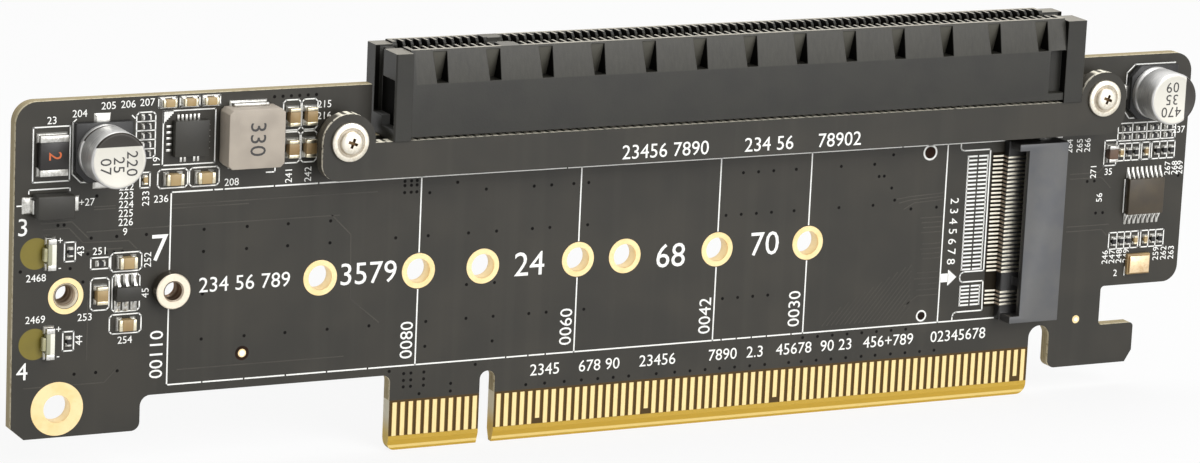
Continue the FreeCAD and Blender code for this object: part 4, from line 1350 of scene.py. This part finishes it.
trackLook = {"width": 0.13, "proud": 0.012, "runs": [
    [(59, 25.8), (54.4, 25.6), (52.6, 25.4)], [(59, 25.4), (54.6, 25.2), (52.9, 24.9)],
    [(59, 25), (55, 24.8), (53.6, 24.1)], [(59, 13.4), (56.2, 13.4), (54.4, 12.2)],
    [(-54.2, 29.1), (-50.6, 29.1), (-48.7, 27.2)],
    [(-53.9, 28.4), (-50.9, 28.4), (-49.3, 26.7), (-44, 26.6), (-43, 25.6)],
    [(-48.9, 27.85), (-39, 27.9)], [(-48.9, 25.8), (-44.7, 25.8)], [(-48.1, 30.6), (-45.6, 30.6)],
    [(-48.1, 30.3), (-45.6, 30.3)], [(-46.8, 22), (-48.6, 20.2), (-48.6, 13.4)],
    [(-20, 28), (-17.6, 25.6), (-17.4, 18.2), (-13.8, 15.2)],
    [(-39, 30.3), (-14.5, 30.3)], [(-39, 29.9), (-30, 29.9)], [(-39, 27.9), (-19, 27.9)],
    [(-55.8, 10.8), (-46.5, 10.8), (-44.8, 12.5)], [(-38, 11.6), (-18, 11.6)],
    [(76.5, 27), (80.5, 27), (81.5, 28)], [(76.5, 26.4), (81, 26.4), (82.4, 25)],
    [(76.5, 20.5), (82.5, 20.5)], [(76.5, 19.9), (81.5, 19.9), (82.3, 19.1)]],
    # short level tracks out from the socket: where they start, then the height and far end of each
    "stubs": [
        (59, ((22.9, 56), (22.3, 56.2), (21.7, 56.4), (21.1, 56.2), (19.7, 56.4), (19.1, 56.2),
                (18.5, 56.4), (17.9, 56.6))),
        (58.9, ((16.2, 56), (15.5, 55.6), (14.8, 56.2), (14.1, 56)))],
    # fine parallel tracks that fan down towards the middle tongue
    "fan": {"left": 41.5, "right": 55.2, "foot": 10.6, "firstFoot": 43.4, "step": 0.62, "count": 18,
            "slope": 0.5, "angle": 50}}


def trackRuns():
    runs = list(trackLook["runs"])
    for start, stubs in trackLook["stubs"]:
        runs += [[(start, z), (end, z)] for z, end in stubs]
    fan = trackLook["fan"]
    across = math.cos(math.radians(fan["angle"]))
    up = math.sin(math.radians(fan["angle"]))
    for index in range(fan["count"]):
        x = fan["firstFoot"] + index * fan["step"]
        toSlope = (x - fan["left"]) * fan["slope"] / (up - across * fan["slope"])
        length = min(toSlope, (fan["right"] - x) / across)
        runs.append([(x, fan["foot"]), (x + length * across, fan["foot"] + length * up)])
    return runs


def clearOfRings(x, z):
    places = [(ringX, ringZ) for ringX, ringZ, _ in mountPlaces()]
    places += [centreOf(node) for node in standoffNodes]
    return all(math.hypot(x - ringX, z - ringZ) > ringLook["driveRadius"] + 0.3 for ringX, ringZ in places)


def makeDiscs(name, rows, height, material):
    # rows hold x, z, radius and number of sides
    piece = startPiece(name)
    for x, z, radius, sides in rows:
        addDisc(x, z, radius, *raised(height), sides)
    finishPiece(piece, material)


def makeVias():
    look = viaLook
    holes = [(x, z, look["radius"], 12) for z, row in look["rows"] for x in row if clearOfRings(x, z)]
    plugs = [(x, z, plug, 20) for x, z, plug, _ in look["filledHoles"]]
    makeDiscs("small_plated_holes", holes, look["holeHeight"], viaHoleShade)
    makeDiscs("peg_pits", look["pits"], look["pitHeight"], pegPit)
    makeDiscs("filled_hole_plugs", plugs, look["plugHeight"], silkInk)
    rings = []
    for index, (x, z, plug, ring) in enumerate(look["filledHoles"]):
        section = ringProfile(plug - 0.02, ring, *raised(look["ringHeight"]), 0.01)
        rings.append(lathe(f"test_ring_{index}", x, z, section, 32))
    finishPiece(joinPieces(rings, "open_rings"), ringGold, 40)


def makeTracks():
    look = trackLook
    tracks = startPiece("raised_tracks")
    for run in trackRuns():
        for (x0, z0), (x1, z1) in zip(run, run[1:]):
            addBar(x0, z0, x1, z1, look["width"], look["proud"])
    finishPiece(tracks, traceMask)


makeVias()
makeTracks()
print("small holes and tracks")


# ---- floor, light and camera ----

stageLook = {
    "floorSize": 6.0, "floorColour": (0.72, 0.72, 0.72, 1), "floorGlow": 0.86, "worldGlow": 0.38,
    "white": (1, 1, 1, 1), "middle": (0.018, 0, 0.024),
    "lamps": [   # name, place in metres, size, power
        ("key_light", (0.3, -0.9, 0.8), 0.7, 8.4), ("fill_light", (0.4, -1.0, 0.3), 0.7, 5.4),
        ("top_light", (0.1, 0.2, 0.95), 0.6, 4.6)],
}


def glowFor(rays, tree, plain, glow, share, output):
    # the plain shader lights the scene, and a share of the glow is what these rays see
    seen = addNode(tree, "ShaderNodeLightPath", {}, {})
    either = seen.outputs[rays[0]]
    for ray in rays[1:]:
        either = addNode(
            tree, "ShaderNodeMath", {"operation": "MAXIMUM"}, {0: either, 1: seen.outputs[ray]}).outputs[0]
    factor = addNode(tree, "ShaderNodeMath", {"operation": "MULTIPLY"}, {0: either, 1: share})
    mix = addNode(
        tree, "ShaderNodeMixShader", {}, {0: factor.outputs[0], 1: plain.outputs[0], 2: glow.outputs[0]})
    tree.links.new(mix.outputs[0], tree.nodes[output].inputs["Surface"])


def makeFloor():
    look = stageLook
    clearSelection()
    bpy.ops.mesh.primitive_plane_add(size=look["floorSize"], location=(0, 0, 0))
    floor = bpy.context.object
    floor.name = "floor"
    surface = Surface("pale_floor", look["floorColour"], 0.9, Specular_IOR_Level=0.0)
    glow = surface.add("ShaderNodeEmission", {}, {"Color": look["white"], "Strength": 1.0})
    glowFor(("Is Camera Ray", "Is Glossy Ray"), surface.tree, surface.shader, glow, look["floorGlow"],
            "Material Output")
    floor.data.materials.append(surface.material)


def makeWorld():
    look = stageLook
    world = bpy.data.worlds.new("soft_room")
    bpy.context.scene.world = world
    world.use_nodes = True
    tree = world.node_tree
    room = tree.nodes["Background"]
    room.inputs["Color"].default_value = look["white"]
    room.inputs["Strength"].default_value = look["worldGlow"]
    backdrop = addNode(tree, "ShaderNodeBackground", {}, {"Color": look["white"], "Strength": 1.0})
    glowFor(("Is Camera Ray", "Is Glossy Ray", "Is Transmission Ray"), tree, room, backdrop, 1.0,
            "World Output")


def makeLamp(name, location, size, power):
    clearSelection()
    bpy.ops.object.light_add(type="AREA", location=location)
    lamp = bpy.context.object
    lamp.name = name
    lamp.data.size = size
    lamp.data.energy = power
    aim = Vector(stageLook["middle"]) - Vector(location)
    lamp.rotation_euler = aim.to_track_quat("-Z", "Y").to_euler()


cameraLook = {
    "lens": 142.869, "sensor": 36.0, "location": (-0.227847, -0.473278, 0.147265),
    "turn": (-0.234864, 0.008741, -0.464861),
}


def makeCamera():
    look = cameraLook
    data = bpy.data.cameras.new("camera")
    camera = bpy.data.objects.new("camera", data)
    bpy.context.collection.objects.link(camera)
    data.lens = look["lens"]
    data.sensor_width = look["sensor"]
    data.clip_start = 0.01
    turn = Vector(look["turn"])
    spin = Matrix.Rotation(turn.length, 4, turn.normalized())
    level = Matrix.Rotation(math.pi / 2, 4, "X")
    camera.matrix_world = Matrix.Translation(Vector(look["location"])) @ spin @ level
    bpy.context.scene.camera = camera


makeFloor()
makeWorld()
for lampRow in stageLook["lamps"]:
    makeLamp(*lampRow)
makeCamera()
bpy.context.scene.view_settings.view_transform = "Standard"
print("stage")
